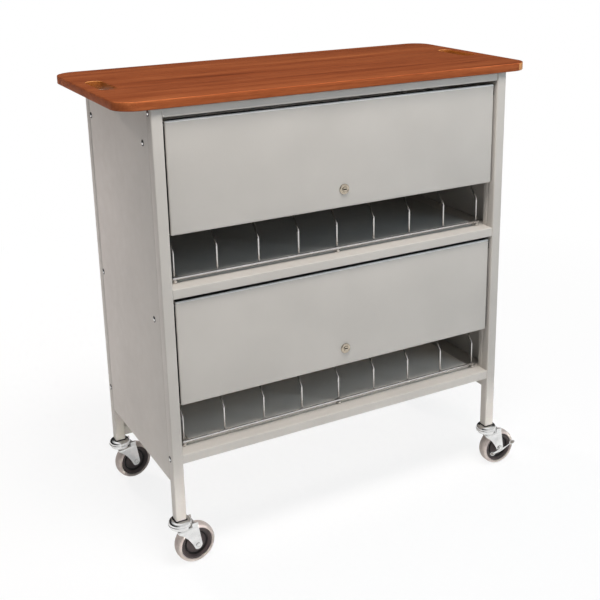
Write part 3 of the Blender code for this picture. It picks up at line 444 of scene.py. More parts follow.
def arc(centre, radius, start, end, steps):
    """Points along an arc, its angles in degrees."""
    turns = [math.radians(start + (end - start) * i / steps) for i in range(steps + 1)]
    return [(centre[0] + radius * math.cos(a), centre[1] + radius * math.sin(a)) for a in turns]


def circle(radius, steps, centre=(0, 0), start=0):
    return arc(centre, radius, start, start + 360, steps)[:-1]


def hexagon(half_width, start=0):
    return circle(half_width / math.cos(math.pi / 6), 6, start=start)


def round_box(width, height, radius, steps=8, centre=(0, 0)):
    across, up = width / 2 - radius, height / 2 - radius
    points = []
    for n, (sx, sy) in enumerate(((1, 1), (-1, 1), (-1, -1), (1, -1))):
        points += arc((centre[0] + sx * across, centre[1] + sy * up), radius, 90 * n, 90 * n + 90, steps)
    return points


def rounded_path(points, radii, steps=10):
    """A path whose inner corners are rounded."""
    points = [Vector(p) for p in points]
    path = [points[0]]
    for before, corner, after, radius in zip(points, points[1:], points[2:], radii):
        into, out = (corner - before).normalized(), (after - corner).normalized()
        bend = into.angle(out)
        first = corner - into * radius * math.tan(bend / 2)
        centre = corner + (out - into).normalized() * (radius / math.cos(bend / 2))
        axis = into.cross(out)
        for i in range(steps + 1):
            path.append(centre + Matrix.Rotation(bend * i / steps, 3, axis) @ (first - centre))
    path.append(points[-1])
    return path


def surface(name, near, far):
    """A sheet without thickness between two rows of points."""
    bm = bmesh.new()
    near, far = [bm.verts.new(p) for p in near], [bm.verts.new(p) for p in far]
    for i in range(len(near) - 1):
        bm.faces.new((near[i], near[i + 1], far[i + 1], far[i]))
    return loose(name, bm)


def plate(name, outlines, low, high, axis="Z", ease=0.0003, place=Matrix.Identity(4)):
    """Flat stock with softened edges, cut to outlines, the first the rim and any others holes."""
    data = bpy.data.curves.new(name, "CURVE")
    data.dimensions = "2D"
    data.fill_mode = "BOTH"
    data.extrude = (high - low) / 2 - ease
    data.bevel_depth = ease
    data.bevel_resolution = 2
    data.offset = -ease
    for outline in outlines:
        spline = data.splines.new("POLY")
        spline.points.add(len(outline) - 1)
        for point, (a, b) in zip(spline.points, outline):
            point.co = (a, b, 0, 1)
        spline.use_cyclic_u = True
    curve = bpy.data.objects.new(name, data)
    bpy.context.scene.collection.objects.link(curve)
    upright = Matrix.Rotation(math.pi / 2, 4, "X")
    turns = {"Z": Matrix.Identity(4), "X": Matrix.Rotation(math.pi / 2, 4, "Z") @ upright, "Y": upright}
    middle = (low + high) / 2
    turn = turns[axis] @ Matrix.Translation((0, 0, -middle if axis == "Y" else middle))
    bpy.context.view_layer.update()
    mesh = bpy.data.meshes.new_from_object(curve.evaluated_get(bpy.context.evaluated_depsgraph_get()))
    bpy.data.objects.remove(curve, do_unlink=True)
    bm = bmesh.new()
    bm.from_mesh(mesh)
    bpy.data.meshes.remove(mesh)
    bmesh.ops.remove_doubles(bm, verts=bm.verts, dist=MERGE)
    bm.transform(place @ turn)
    return loose(name, bm)


def joined(pieces):
    """One bmesh of several loose pieces, which it removes."""
    bm = bmesh.new()
    for piece in pieces:
        bm.from_mesh(piece.data)
        bpy.data.objects.remove(piece, do_unlink=True)
    return bm


def folded(name, outline, low, high):
    """Bent sheet along Z whose outer face follows an open outline of corners."""
    path = rounded_path([(*corner, 0) for corner in outline], [SHEET_BEND] * (len(outline) - 2), 5)
    piece = surface(name, *[[(p.x, p.y, z) for p in path] for z in (low, high)])
    thicken(piece, SHEET)
    return piece


def pan(name, low, high, *open_ways, radius=SHEET_BEND):
    """A folded sheet box, left open in some directions."""
    bm = bmesh.new()
    box_mesh(bm, low, high)
    gone = [f for f in bm.faces for way in open_ways if f.normal.dot(Vector(way)) > 0.7]
    bmesh.ops.delete(bm, geom=gone, context="FACES")
    piece = linked(name, bm)
    fold = piece.modifiers.new("folds", "BEVEL")
    fold.width = radius
    fold.segments = 5
    fold.limit_method = "ANGLE"
    thicken(piece, SHEET)
    return piece


PAINT = paint("powder_coat", srgb(198, 192, 184))
LAMINATE = laminate("cherry_laminate")
EDGE = laminate("cherry_edge_band", 1.56)
# painted highlight: a twice-as-light copy of the laminate for the top front arris
ARRIS_HIGHLIGHT = laminate("cherry_arris_painted_highlight", 2.0)
CORE = core()
CHROME = metal("bright_chrome", srgb(214, 212, 210), 0.15, (60, 900, 900))
# painted reflection: a second tone of the same chrome for the rack's rods, set to the reflections seen on
# them
ROD_REFLECTION_TONE = metal("rod_chrome_painted_reflection", srgb(224, 222, 222), 0.21, (60, 900, 900))
# painted shade: a darker copy of the metal for the hollows of the brake's pad and toe
PAD_SHADE = metal("brake_pad_painted_shade", srgb(150, 144, 136), 0.38, (300, 300, 300))
ZINC = zinc("bright_zinc", srgb(234, 234, 233), 0.15)
NICKEL = metal("lock_nickel", srgb(198, 187, 170), 0.17, (900, 900, 90))
RUBBER = rubber("tyre_grey")
SIDEWALL = rubber("tyre_sidewall", 1.16)
HUB = plastic("hub_plastic", srgb(50, 40, 39))
# the feet's natural nylon, toned down as painted shade for the dark corner they sit in
NYLON_TONED_FOR_SHADE = plastic("foot_nylon_with_painted_shade", srgb(190, 183, 174))
# painted light: one tray paint in two tones, darker in the upper tier and far lighter in the lower, for how
# much light reaches each tier's inside
TRAY = {"upper": paint("upper_tray_paint_shaded_copy", srgb(172, 170, 165), 3.0),
        "lower": paint("lower_tray_paint_lit_copy", srgb(240, 232, 221), 3.0)}
# painted shade: a near-black finish laid where shade falls, on the post plugs, the rings round screw heads,
# the door flanges, the caster wells, the hub grooves and the lock's keyway
PAINTED_SHADE = plastic("painted_shade", srgb(24, 22, 22), 0.6)
# the underside's real dark backer, also used as painted shade on the far arrises of the top
BACKER_AND_SHADE = plastic("board_backer_and_painted_shade", srgb(96, 58, 36), 0.6)
# painted highlight: a light orange for the far rims of the hand holds and a strip of the right front corner
RIM_HIGHLIGHT = plastic("painted_rim_highlight", srgb(205, 138, 78))
# painted highlight: a near-white copy of the powder coat for the lit top bend of the doors
BEND_HIGHLIGHT = paint("painted_bend_highlight", srgb(250, 247, 242))
SLOT_OF = {
    "painted_steel": PAINT, "laminate": LAMINATE, "bright_wire": CHROME, "zinc": ZINC, "nickel": NICKEL,
    "tyre": RUBBER, "hub": HUB, "nylon": NYLON_TONED_FOR_SHADE, "dark_paint": TRAY["upper"],
}


def dress_frame():
    """Gives each CAD node the finish of its record slot."""
    for entry in frame["record"]["subparts"]:
        materials = NODES[entry["node"]].data.materials
        materials.clear()
        materials.append(SLOT_OF[entry["material_slot"]])


def make_worktop():
    """The board with its two hand holds and its edge bands; painted highlights on the front arris, the far
    rims of the holds and a strip of the right front corner, and painted shade on the far arrises.
    """
    low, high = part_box("worktop")
    middle = (low.y + high.y) / 2
    rim = round_box(high.x - low.x, high.y - low.y, 0.050, 16, (0, middle))
    hold_wide, hold_long = 0.039, 0.130
    hold_x, hold_y = high.x - 0.045, middle + 0.006
    holes = [round_box(hold_wide, hold_long, 0.0192, 12, (sx * hold_x, hold_y)) for sx in (-1, 1)]
    top = plate("worktop_board", [rim, *holes], low.z, high.z, ease=0.0018)
    finishes = (LAMINATE, CORE, BACKER_AND_SHADE, RIM_HIGHLIGHT, EDGE, ARRIS_HIGHLIGHT)
    wall, backer_and_shade, band, edge, lit_arris = range(1, 6)
    dressed(top, finishes, "cabinet", "worktop", angle=50)
    for face in top.data.polygons:
        x, y, z = face.normal
        across = abs(abs(face.center.x) - hold_x) - hold_wide / 2
        along = abs(face.center.y - hold_y) - hold_long / 2
        if z < -0.9:
            face.material_index = backer_and_shade
        elif max(across, along) < 0.002:
            if abs(z) < 0.6:
                face.material_index = wall
            # painted highlight on the far rim of each hand hold, the faces turned towards the front
            elif abs(z) < 0.97 and y < -0.2:
                face.material_index = band
        elif abs(z) < 0.4:
            # painted highlight on a strip of the right front corner; the rest of the edge keeps its band
            face.material_index = band if 0.30 < x < 0.88 and y < -0.3 else edge
        elif 0.4 < z < 0.97:
            # painted shade: arris faces turned to the back or the right take the dark backer colour
            if max(x, y) > 0.2:
                face.material_index = backer_and_shade
            # painted highlight: front-facing arris faces take the lighter laminate copy
            elif y < -0.2:
                face.material_index = lit_arris


def tube(name, centre, low, high, axis, node):
    inner = POST - 2 * TUBE_WALL
    rims = [round_box(POST, POST, 2 * TUBE_WALL, 6, centre), round_box(inner, inner, TUBE_WALL, 4, centre)]
    dressed(plate(name, rims, low, high, axis, 0.0002), PAINT, "cabinet", node)


def make_cabinet():
    """Posts with their end plugs in painted shade, the rear stretcher, the panels and the three trays."""
    for name in CASTER_TURN:
        low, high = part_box(f"post_{name}")
        centre = ((low.x + high.x) / 2, (low.y + high.y) / 2)
        tube(f"tube_{name}", centre, low.z + 0.0055, high.z, "Z", f"post_{name}")
        # the end plug is coloured as painted shade: it stands for the dark shade line where each post meets
        # its cup
        size = POST - 0.0012
        rims = [round_box(size, size, 0.0022, 5, centre), circle(STEM, 32, centre)]
        plug = plate(f"end_plug_{name}", rims, low.z, low.z + 0.0060, ease=0.0002)
        dressed(plug, PAINTED_SHADE, "cabinet")
    low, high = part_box("rear_stretcher")
    tube("rear_rail", ((low.y + high.y) / 2, (low.z + high.z) / 2), low.x, high.x, "X", "rear_stretcher")

    near, far = FRONT + POST + GAP, BACK - POST - GAP
    lip = 0.014
    cut_top = SHELF["lower"] - 0.0305
    for side, sx in (("left", -1), ("right", 1)):
        low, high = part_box(f"side_panel_{side}")
        inner, outer = sx * INSIDE, sx * PANEL
        outline = [(inner, far - lip), (inner, far), (outer, far), (outer, near), (inner, near),
                   (inner, near + lip)]
        if sx > 0:
            outline.reverse()
        panel = folded(f"side_sheet_{side}", outline, low.z, high.z)
        xs = sorted((inner - sx * OVERRUN, outer - sx * 0.0029))
        cut_box(panel, (xs[0], near - OVERRUN, low.z - OVERRUN), (xs[1], far + OVERRUN, cut_top))
        dressed(baked(panel), PAINT, "cabinet", f"side_panel_{side}")
    low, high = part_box("back_panel")
    dressed(baked(pan("back_sheet", low, high, UP, AHEAD)), PAINT, "cabinet", "back_panel")

    ends = ((-1, FRONT, INSIDE - GAP), (1, BACK, INSIDE - 2 * GAP - SHEET))
    trays = (("top_tray", "top_pan"), ("middle_tray", "middle_shelf"), ("bottom_tray", "bottom_shelf"))
    for name, node in trays:
        low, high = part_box(node)
        tray = pan(name, low, high, DOWN)
        for sx in (-1, 1):
            for sy, edge, inner in ends:
                xs = sorted((sx * inner, sx * (SIDE + OVERRUN)))
                ys = sorted((edge - sy * (POST + 0.0146), edge + sy * OVERRUN))
                cut_box(tray, (xs[0], ys[0], low.z - OVERRUN), (xs[1], ys[1], high.z + OVERRUN))
        dressed(baked(tray), PAINT, "cabinet", node)


def divider_path(tier, x):
    """A divider's wire: up from behind the front rod, leaning back, level, and down to the rear rod."""
    shelf = SHELF[tier]
    first = ROD_Y + ROD + WIRE - WELD
    foot, kink, top = shelf + WIRE_LIFT, shelf + KINK, shelf + WIRE_TOP
    lean = first + (WIRE_TOP - KINK) * LEAN
    corners = [(x, first, foot), (x, first, kink), (x, lean, top), (x, WIRE_BACK, top), (x, WIRE_BACK, foot)]
    return rounded_path(corners, (0.010, 0.025, 0.025), 8)


def make_rack(tier):
    """A tier's welded wire rack with the keeper on its middle divider, its feet and its base."""
    shelf = SHELF[tier]
    end = RACK_HALF + 0.0042
    rod_z = shelf + ROD_LIFT
    rods = ((ROD_Y, rod_z), (WIRE_BACK - WIRE - ROD + WELD, shelf + WIRE_LIFT + ROD))
    bm = bmesh.new()
    for y, z in rods:
        sweep(bm, [(x, y, z) for x in (-end, 0, end)], ROD, 20)
    for number in range(DIVIDERS):
        x = number * PITCH - RACK_HALF
        sweep(bm, divider_path(tier, x), WIRE, 14)
        for y, z in rods:
            bead(bm, (x, y + ROD, z), (0.0036, 0.0022, 0.0026))
        if number in FOOT_AT:
            sweep(bm, [(x, ROD_Y, rod_z), (x, ROD_Y, shelf + 0.0022)], WIRE, 14, domes=False)
            bead(bm, (x, ROD_Y, rod_z - ROD), (0.0034, 0.0030, 0.0016))
    low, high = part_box(f"{tier}_lock_plug")
    lock_z = (low.z + high.z) / 2
    tab_back = high.y - CAM - 0.0008
    tab_front = tab_back - 0.0015
    strap_low = lock_z + 0.0315
    strap_high = strap_low + 0.010
    middle = (strap_low + strap_high) / 2
    wire_y = ROD_Y + ROD + WIRE + (middle - shelf - KINK) * LEAN
    box_mesh(bm, (-0.0015, tab_front + 0.0004, strap_low), (0.0015, wire_y, strap_high), 0.0004)
    box_mesh(bm, (-0.008, tab_front, lock_z + 0.018), (0.008, tab_back, strap_high), 0.0006)
    bead(bm, (0, wire_y - 0.001, middle), (0.0034, 0.0040, 0.0060))
    rack = solid(f"{tier}_dividers", bm, (CHROME, ROD_REFLECTION_TONE), "cabinet", f"{tier}_wire_rack", angle=45)
    # the rods' faces take the second chrome tone as a painted reflection
    for face in rack.data.polygons:
        spot = face.center
        if min(math.hypot(spot.y - y, spot.z - z) for y, z in rods) < ROD + 0.0002:
            face.material_index = 1

    for number in FOOT_AT:
        node = f"{tier}_rack_foot_{number + 1}"
        low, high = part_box(node)
        place = Matrix.Translation(((low.x + high.x) / 2, (low.y + high.y) / 2, low.z))
        tall = high.z - low.z
        profile = [
            (0, 0.0012), (0.00255, 0.0012), (0.00255, tall - 0.0003), (0.0029, tall), (0.0034, tall - 0.0003),
            (0.0041, tall * 0.62), (0.0042, tall * 0.45), (0.0042, 0.0006), (0.0038, 0.0001), (0, 0),
        ]
        foot = dressed(turned(f"{tier}_knob_{number + 1}", profile, 32, place), NYLON_TONED_FOR_SHADE, "cabinet", node)

    low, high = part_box(f"{tier}_rack_base")
    base = pan(f"{tier}_base_tray", low, high, DOWN, radius=0.0016)
    for corner in base.data.vertices:
        if corner.co.z > (low.z + high.z) / 2:
            corner.co.x -= math.copysign(0.006, corner.co.x)
    cut_box(base, (-0.008, low.y - OVERRUN, low.z - OVERRUN), (0.008, low.y + 0.010, high.z + OVERRUN))
    cut_box(base, (low.x - 0.01, low.y - 0.01, low.z - 0.01), (high.x + 0.01, high.y + 0.01, low.z))
    dressed(baked(base), TRAY[tier], "cabinet", f"{tier}_rack_base")


def make_door(tier):
    """A tier's folded door, with its lock; painted shade on its top and side flanges and a painted highlight
    on its top front bend.
    """
    low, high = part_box(f"{tier}_door")
    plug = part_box(f"{tier}_lock_plug")
    lock_z = (plug[0].z + plug[1].z) / 2
    hinge_y, hinge_z = low.y + 0.009, high.z - 0.009
    skin = ((low.x + 0.0022, low.y, low.z), (high.x - 0.0010, high.y, high.z))
    door = pan(f"{tier}_door_skin", *skin, BEHIND, radius=0.0036)
    drill(door, (low.x - OVERRUN, hinge_y, hinge_z), (high.x + OVERRUN, hinge_y, hinge_z), 0.0029, 24)
    drill(door, (0, low.y - OVERRUN, lock_z), (0, low.y + OVERRUN, lock_z), LOCK_HOLE, 40)
    dressed(baked(door), (PAINT, PAINTED_SHADE, BEND_HIGHLIGHT), f"{tier}_door", f"{tier}_door")
    shaded, pale = 1, 2
    for face in door.data.polygons:
        x, y, z = face.normal
        # painted highlight: the top front bend takes the near-white copy of the coat
        if 0.15 < z < 0.97 and y < -0.15:
            face.material_index = pale
        # painted shade: the top and side flanges, seen through the gaps, take the near-black finish
        if (abs(x) > 0.9 or z > 0.9) and face.center.y > low.y + 0.002:
            face.material_index = shaded
    make_lock(tier, Matrix.Translation((0, low.y, lock_z)) @ Matrix.Rotation(math.pi / 2, 4, "X"))


def make_lock(tier, place):
    """The lock's threaded body, nut and plug with its cam. Local +Z points out of the door's face."""
    front, back = 0.0035, -0.0197
    body = [
        (0.0057, front - 0.0005), (0.0064, front - 0.0001), (0.0072, front - 0.0008),
        (0.0088, front - 0.0008), (0.0096, front), (0.0108, front), (0.0117, front - 0.0004),
        (0.0123, front - 0.0012), (0.0125, front - 0.0020), (0.0125, 0.0005), (0.0123, 0.0003),
        (0.0094, 0.0003), (0.0094, -0.0010),
    ]
    thread = -0.0012
    while thread > back + 0.0012:
        body += [(0.0095, thread), (0.0089, thread - 0.00045)]
        thread -= 0.0009
    body += [(0.0090, back + 0.0004), (0.0086, back), (0.0057, back)]
    barrel = turned(f"{tier}_lock_body", body, 56, place)
    dressed(barrel, NICKEL, f"{tier}_door", f"{tier}_lock_barrel")

    rims = [hexagon(0.0135), circle(LOCK_HOLE, 40)]
    nut = plate(f"{tier}_lock_hexnut", rims, -0.0055, -0.0015, ease=0.0005, place=place)
    dressed(nut, ZINC, f"{tier}_door", f"{tier}_lock_nut")

    top = front + 0.0006
    bottom = top - 0.004
    rim = circle(0.0053, 40)
    keyway = round_box(0.0090, 0.0027, 0.0008, 3)
    plug_front = plate("plug_front", [rim, keyway], bottom, top, place=place)
    plug_rear = plate("plug_rear", [rim], back - 0.0016, bottom, ease=0.0002, place=place)
    # painted shade: the plug's hidden rear, seen through the keyway, takes the near-black finish
    for face in plug_rear.data.polygons:
        face.material_index = 1
    outline = [
        *arc((0, 0), 0.006, -90, 90, 16), (-0.027, 0.006), *arc((-0.0275, 0.0035), 0.0025, 90, 180, 4),
        *arc((-0.0275, -0.0035), 0.0025, 180, 270, 4), (-0.027, -0.006),
    ]
    cam = plate("cam", [outline], back - 0.0006 - CAM, back - 0.0006, place=place)
    bm = joined([plug_front, plug_rear, cam])
    lock = solid(f"{tier}_lock_core", bm, (NICKEL, PAINTED_SHADE), f"{tier}_lock", f"{tier}_lock_plug")


def make_screws():
    """Truss-head screws with a cross recess over dark rings of painted shade round their heads, in the posts
    and panels, and two rivets.
    """
    profile = [
        (0, 0.0022), (0.0014, 0.00215), (0.0028, 0.0018), (0.0040, 0.0012), (0.0047, 0.0005),
        (0.0048, 0.0), (0, -0.0002),
    ]
    head = turned("screw_pattern", profile, 32)
    for angle in (20, 110):
        bm = bmesh.new()
        box_mesh(bm, (-0.0022, -0.00045, 0.0009), (0.0022, 0.00045, 0.004))
        bm.transform(Matrix.Rotation(math.radians(angle), 4, "Z"))
        carve(head, loose("cutter", bm))
    head = baked(head)
    # the dark ring under each head is painted shade: it stands for the shadow round the screw head
    profile = [(0.0045, 0.0005), (0.0070, 0.0004), (0.0074, 0.0), (0.0045, -0.0002)]
    shade_ring = turned("shade_ring_pattern", profile, 32)
    in_posts = ((0.0166, 1.0596), (0.0158, 0.2748), (0.4394, 1.0596), (0.4394, 0.2748))
    in_panel = ((0.061, 0.990), (0.421, 0.990), (0.061, 0.5964), (0.423, 0.5964))
    number = 0
    for sx in (-1, 1):
        for x, y, z in [(SIDE, *spot) for spot in in_posts] + [(PANEL, *spot) for spot in in_panel]:
            number += 1
            place = Matrix.Translation((sx * x, FRONT + y, z)) @ Matrix.Rotation(sx * math.pi / 2, 4, "Y")
            for pattern, finish, word in ((head, ZINC, "screw"), (shade_ring, PAINTED_SHADE, "shade_ring")):
                piece = bpy.data.objects.new(f"{word}_{number}", pattern.data.copy())
                bpy.context.scene.collection.objects.link(piece)
                piece.matrix_world = place
                dressed(piece, finish, "cabinet")
    profile = [(0, 0.0011), (0.0016, 0.0010), (0.0026, 0.0004), (0.0029, 0.0)]
    for tier in TIERS:
        place = Matrix.Translation((0.402, FRONT + 0.084, SHELF[tier]))
        dressed(turned(f"{tier}_shelf_rivet", profile, 28, place), ZINC, "cabinet")
    for pattern in (head, shade_ring):
        bpy.data.objects.remove(pattern, do_unlink=True)


def make_cup(name, middle):
    """Stem, raceway cup and kingpin, the well round the post in painted shade. They turn with nothing: they
    are fixed in the post.
    """
    profile = [
        (0, 0.1668), (0.0101, 0.1668), (STEM, 0.1661), (STEM, 0.1204), (0.0168, 0.1204),
        (0.0190, 0.1201), (0.0210, 0.1195), (0.0228, 0.1185), (0.0243, 0.1171), (0.0254, 0.1154),
        (0.0261, 0.1136), (0.0263, 0.1120), (0.0262, 0.1110), (0.0264, 0.1102), (0.0269, 0.1098),
        (0.0272, 0.1092), (0.0272, 0.1078), (0.0269, 0.1068), (0.0262, 0.1062), (0.0252, 0.1060),
        (0.0247, 0.1062), (0.0243, 0.1050), (0.0243, 0.1122), (0.0235, 0.1127), (0.0053, 0.1127),
        (0.0050, 0.1124), (0.0050, 0.0980), (0.0086, 0.0979), (0.0090, 0.0975), (0.0090, 0.0956),
        (0.0086, 0.0952), (0, 0.0952),
    ]
    piece = turned(f"cup_{name}", profile, 64, Matrix.Translation((middle.x, middle.y, 0)))
    size = POST + 0.0054
    centre = (middle.x, middle.y)
    well = [round_box(size, size, 0.0050, 6, centre), circle(STEM, 40, centre)]
    carve(piece, plate("well", well, 0.1166, 0.1300, ease=0))
    dressed(baked(piece), (ZINC, PAINTED_SHADE), "cabinet", f"caster_stem_{name}", angle=38)
    # painted shade: the well's walls and floor round the post take the near-black finish
    for face in piece.data.polygons:
        spot = face.center
        reach = max(abs(spot.x - middle.x), abs(spot.y - middle.y))
        inside = 0.1160 < spot.z < 0.1206 and reach < size / 2 + 0.00005
        if inside and (face.normal.z < 0.5 or spot.z < 0.117):
            face.material_index = 1


def make_fork(name, body, place):
    """A bent sheet cut to its side view, its legs creased, with two ears, a lip and a raceway on top."""
    half, top, gauge, waist = 0.0195, 0.1005, 0.0025, 0.0055
    knee = (-0.0155, 0.0945)
    eye = arc((TRAIL, AXLE_Z), 0.0105, -140, 15, 18)
    across, down = eye[0][0] - knee[0], eye[0][1] - knee[1]
    way = Vector((across, down)).normalized()
    outline = [*eye, (0.0367, top - 0.002), (0.0350, top), (-0.0145, top), knee]
    for share, depth in ((0.2, 0.64), (0.5, 1.0), (0.8, 0.64)):
        x, z = knee[0] + across * share, knee[1] + down * share
        outline.append((x - way.y * waist * depth, z + way.x * waist * depth))
    side = plate("fork_side", [outline], -half - 0.01, half + 0.01, "Y", 0.0004)
    foot = AXLE_Z - 0.02
    corners = [(0, -half, foot), (0, -half, top), (0, half, top), (0, half, foot)]
    path = rounded_path(corners, (0.008, 0.008), 8)
    shell = surface(f"fork_shell_{name}", *[[(x, p.y, p.z) for p in path] for x in (-0.04, 0.06)])
    thicken(shell, gauge, -1 if shell.data.polygons[0].normal.y < 0 else 1)
    carve(shell, side, "INTERSECT")
    drill(shell, (0, 0, 0.09), (0, 0, 0.11), 0.0055, 32)
    drill(shell, (TRAIL, -0.03, AXLE_Z), (TRAIL, 0.03, AXLE_Z), 0.00445, 32)
    shell = baked(shell)
    for corner in shell.data.vertices:
        rise = (corner.co.z - AXLE_Z) / (top - AXLE_Z)
        crease = TRAIL - 0.030 * rise
        if corner.co.x < crease and abs(corner.co.y) > half - gauge - 0.001:
            corner.co.y += math.copysign((crease - corner.co.x) * 0.22 * rise, corner.co.y)
    ear = [(0.0212, top - 0.006), (0.0367, top - 0.006), *arc((0.0352, 0.1063), 0.0015, 0, 90, 5),
           *arc((0.0232, 0.1058), 0.0020, 90, 180, 5)]
    ears = []
    for sy in (-1, 1):
        ys = sorted((sy * half, sy * (half - gauge)))
        ears.append(plate("fork_ear", [ear], *ys, "Y", 0.0005))
    lip = plate("fork_lip", [round_box(0.020, 0.0085, 0.0018, 4, (0, 0.10225))], 0.0282, 0.0307, "X", 0.0004)
    profile = [
        (0.0056, 0.0990), (0.0056, 0.1012), (0.0100, 0.1016), (0.0150, 0.1030), (0.0190, 0.1058),
        (0.0205, 0.1065), (0.0220, 0.1063), (0.0225, 0.1052), (0.0225, 0.0992),
    ]
    bm = joined([shell, lip, turned("fork_race", profile, 56), *ears])
    bm.transform(place)
    fork = solid(f"fork_sheet_{name}", bm, ZINC, body, f"fork_{name}")


def make_axle(name, body, place):
    """The axle bolt with its head, dished washers and nut. It reaches further where it carries a brake."""
    near, far = (-0.0223 if name in BRAKED else -0.0198), 0.0198
    profile = [
        (0, near - 0.0012), (0.0040, near - 0.0012), (0.0042, near - 0.0006), (0.0047, near - 0.0006),
        (0.0049, near - 0.0012), (0.0056, near - 0.0009), (0.0058, near), (0.0040, near), (0.0040, far),
        (0.0072, far), (0.0072, far + 0.0006), (0.0066, far + 0.0006), (0.0066, far + 0.0012),
        (0.0040, far + 0.0012), (0.0040, far + 0.0035), (0.0036, far + 0.0037), (0, far + 0.0037),
    ]
    turn = Matrix.Rotation(-math.pi / 2, 4, "X")
    shaft = turned("axle_shaft", profile, 40, turn)
    rims = [hexagon(0.0062, 30), circle(0.0041, 24)]
    nut = plate("axle_nut", rims, far + 0.0008, far + 0.0034, ease=0.0004, place=turn)
    bm = joined([shaft, nut])
    bm.transform(place)
    pin = solid(f"axle_bolt_{name}", bm, ZINC, body, f"axle_{name}")


def two_sided(half):
    """A wheel's profile from the half on one side of its middle."""
    return half + [(radius, -height) for radius, height in reversed(half)]


def make_wheel(name, body, place):
    """A hub with a stepped web and a groove in painted shade, and a rounded tyre with pale sidewalls."""
    turn = place @ Matrix.Rotation(-math.pi / 2, 4, "X")
    back_turn = turn.inverted()
    half = [
        (0.0044, 0.0163), (0.0048, 0.0165), (0.0092, 0.0165), (0.0099, 0.0158), (0.0101, 0.0100),
        (0.0106, 0.0084), (0.0118, 0.0078), (0.0236, 0.0078), (0.0243, 0.0072), (0.0247, 0.0040),
        (0.0252, 0.0036), (0.0286, 0.0036), (0.0292, 0.0040), (0.0297, 0.0088), (0.0302, 0.0094),
        (0.0318, 0.0100), (0.0326, 0.0118), (0.0334, 0.0124), (0.0372, 0.0125), (0.0382, 0.0122),
        (0.0387, 0.0115),
    ]
    disc = turned(f"hub_disc_{name}", two_sided(half), 72, turn)
    hub = dressed(disc, (HUB, PAINTED_SHADE), body, f"hub_{name}", angle=38)
    # painted shade: the hub's groove takes the near-black finish
    for face in hub.data.polygons:
        spot = back_turn @ face.center
        if 0.0243 < math.hypot(spot.x, spot.y) < 0.0299 and abs(spot.z) < 0.0086:
            face.material_index = 1

    half = [(0.0390, 0.0126), (0.0396, 0.0144)]
    for step in range(13):
        a = math.radians(8 + 82 * step / 13)
        half.append((0.0390 + 0.0090 * math.sin(a) ** 0.75, 0.0150 * math.cos(a) ** 0.75))
    half.append((0.0480, 0.0012))
    band = turned(f"tyre_band_{name}", two_sided(half), 96, turn)
    tyre = dressed(band, (RUBBER, SIDEWALL), body, f"tyre_{name}", angle=50)
    for face in tyre.data.polygons:
        spot = back_turn @ face.center
        if math.hypot(spot.x, spot.y) < 0.0452:
            face.material_index = 1


def make_brake(name, place):
    """A rocking lever outside the fork: a pad to press down and a rolled toe at its other end, the hollows of
    both in painted shade.
    """
    outline = arc((0, 0), 0.0074, -5, 205, 24) + arc((-0.0225, -0.0098), 0.0023, 100, 290, 8)
    outline += [(-0.0060, -0.0104), (0.0020, -0.0092), (0.0080, -0.0068), (0.0180, -0.0016), (0.0330, 0.0056)]
    outline += [(0.0345, 0.0090), (0.0185, 0.0022)]
    arm = plate("brake_arm", [outline, circle(0.0042, 32)], 0.0198, 0.0220, ease=0.0004)
    pads = []
    for x, y, wide, lean in ((0.0380, 0.0092, 0.0174, 16), (-0.0245, -0.0104, 0.0150, 0)):
        turns = [math.tau * i / 40 for i in range(40)]
        oval = [(0.5 * wide * math.cos(a), 0.0052 * math.sin(a)) for a in turns]
        hollow = [(0.74 * px, 0.62 * py) for px, py in oval]
        floor = [(1.05 * px, 1.05 * py) for px, py in hollow]
        seat = (Matrix.Translation((x, y, 0.0211)) @ Matrix.Rotation(math.radians(lean), 4, "Z")
                @ Matrix.Rotation(math.radians(-52), 4, "X"))
        pads.append(plate("brake_pad", [oval, hollow], -0.0008, 0.0008, ease=0.0006, place=seat))
        # painted shade: the floor in each hollow takes the darker metal copy
        pads.append(plate("brake_pad_floor", [floor], -0.0006, 0.0001, ease=0.0, place=seat))
        for face in pads[-1].data.polygons:
            face.material_index = 1
    bm = joined([arm, *pads])
    bm.transform(place @ Matrix.Rotation(math.pi / 2, 4, "X"))
    lever = solid(f"brake_arm_{name}", bm, (ZINC, PAD_SHADE), f"brake_{name}", f"brake_lever_{name}")


def make_caster(name):
    """A caster, its fork turned to the angle it stands at."""
    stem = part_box(f"caster_stem_{name}")
    middle = (stem[0] + stem[1]) / 2
    turn = Matrix.Rotation(math.radians(CASTER_TURN[name]), 4, "Z")
    place = Matrix.Translation((middle.x, middle.y, 0)) @ turn
    axle = place @ Matrix.Translation((TRAIL, 0, AXLE_Z))
    make_cup(name, middle)
    make_fork(name, f"caster_{name}", place)
    make_axle(name, f"caster_{name}", axle)
    make_wheel(name, f"wheel_{name}", axle)
    if name in BRAKED:
        make_brake(name, axle)


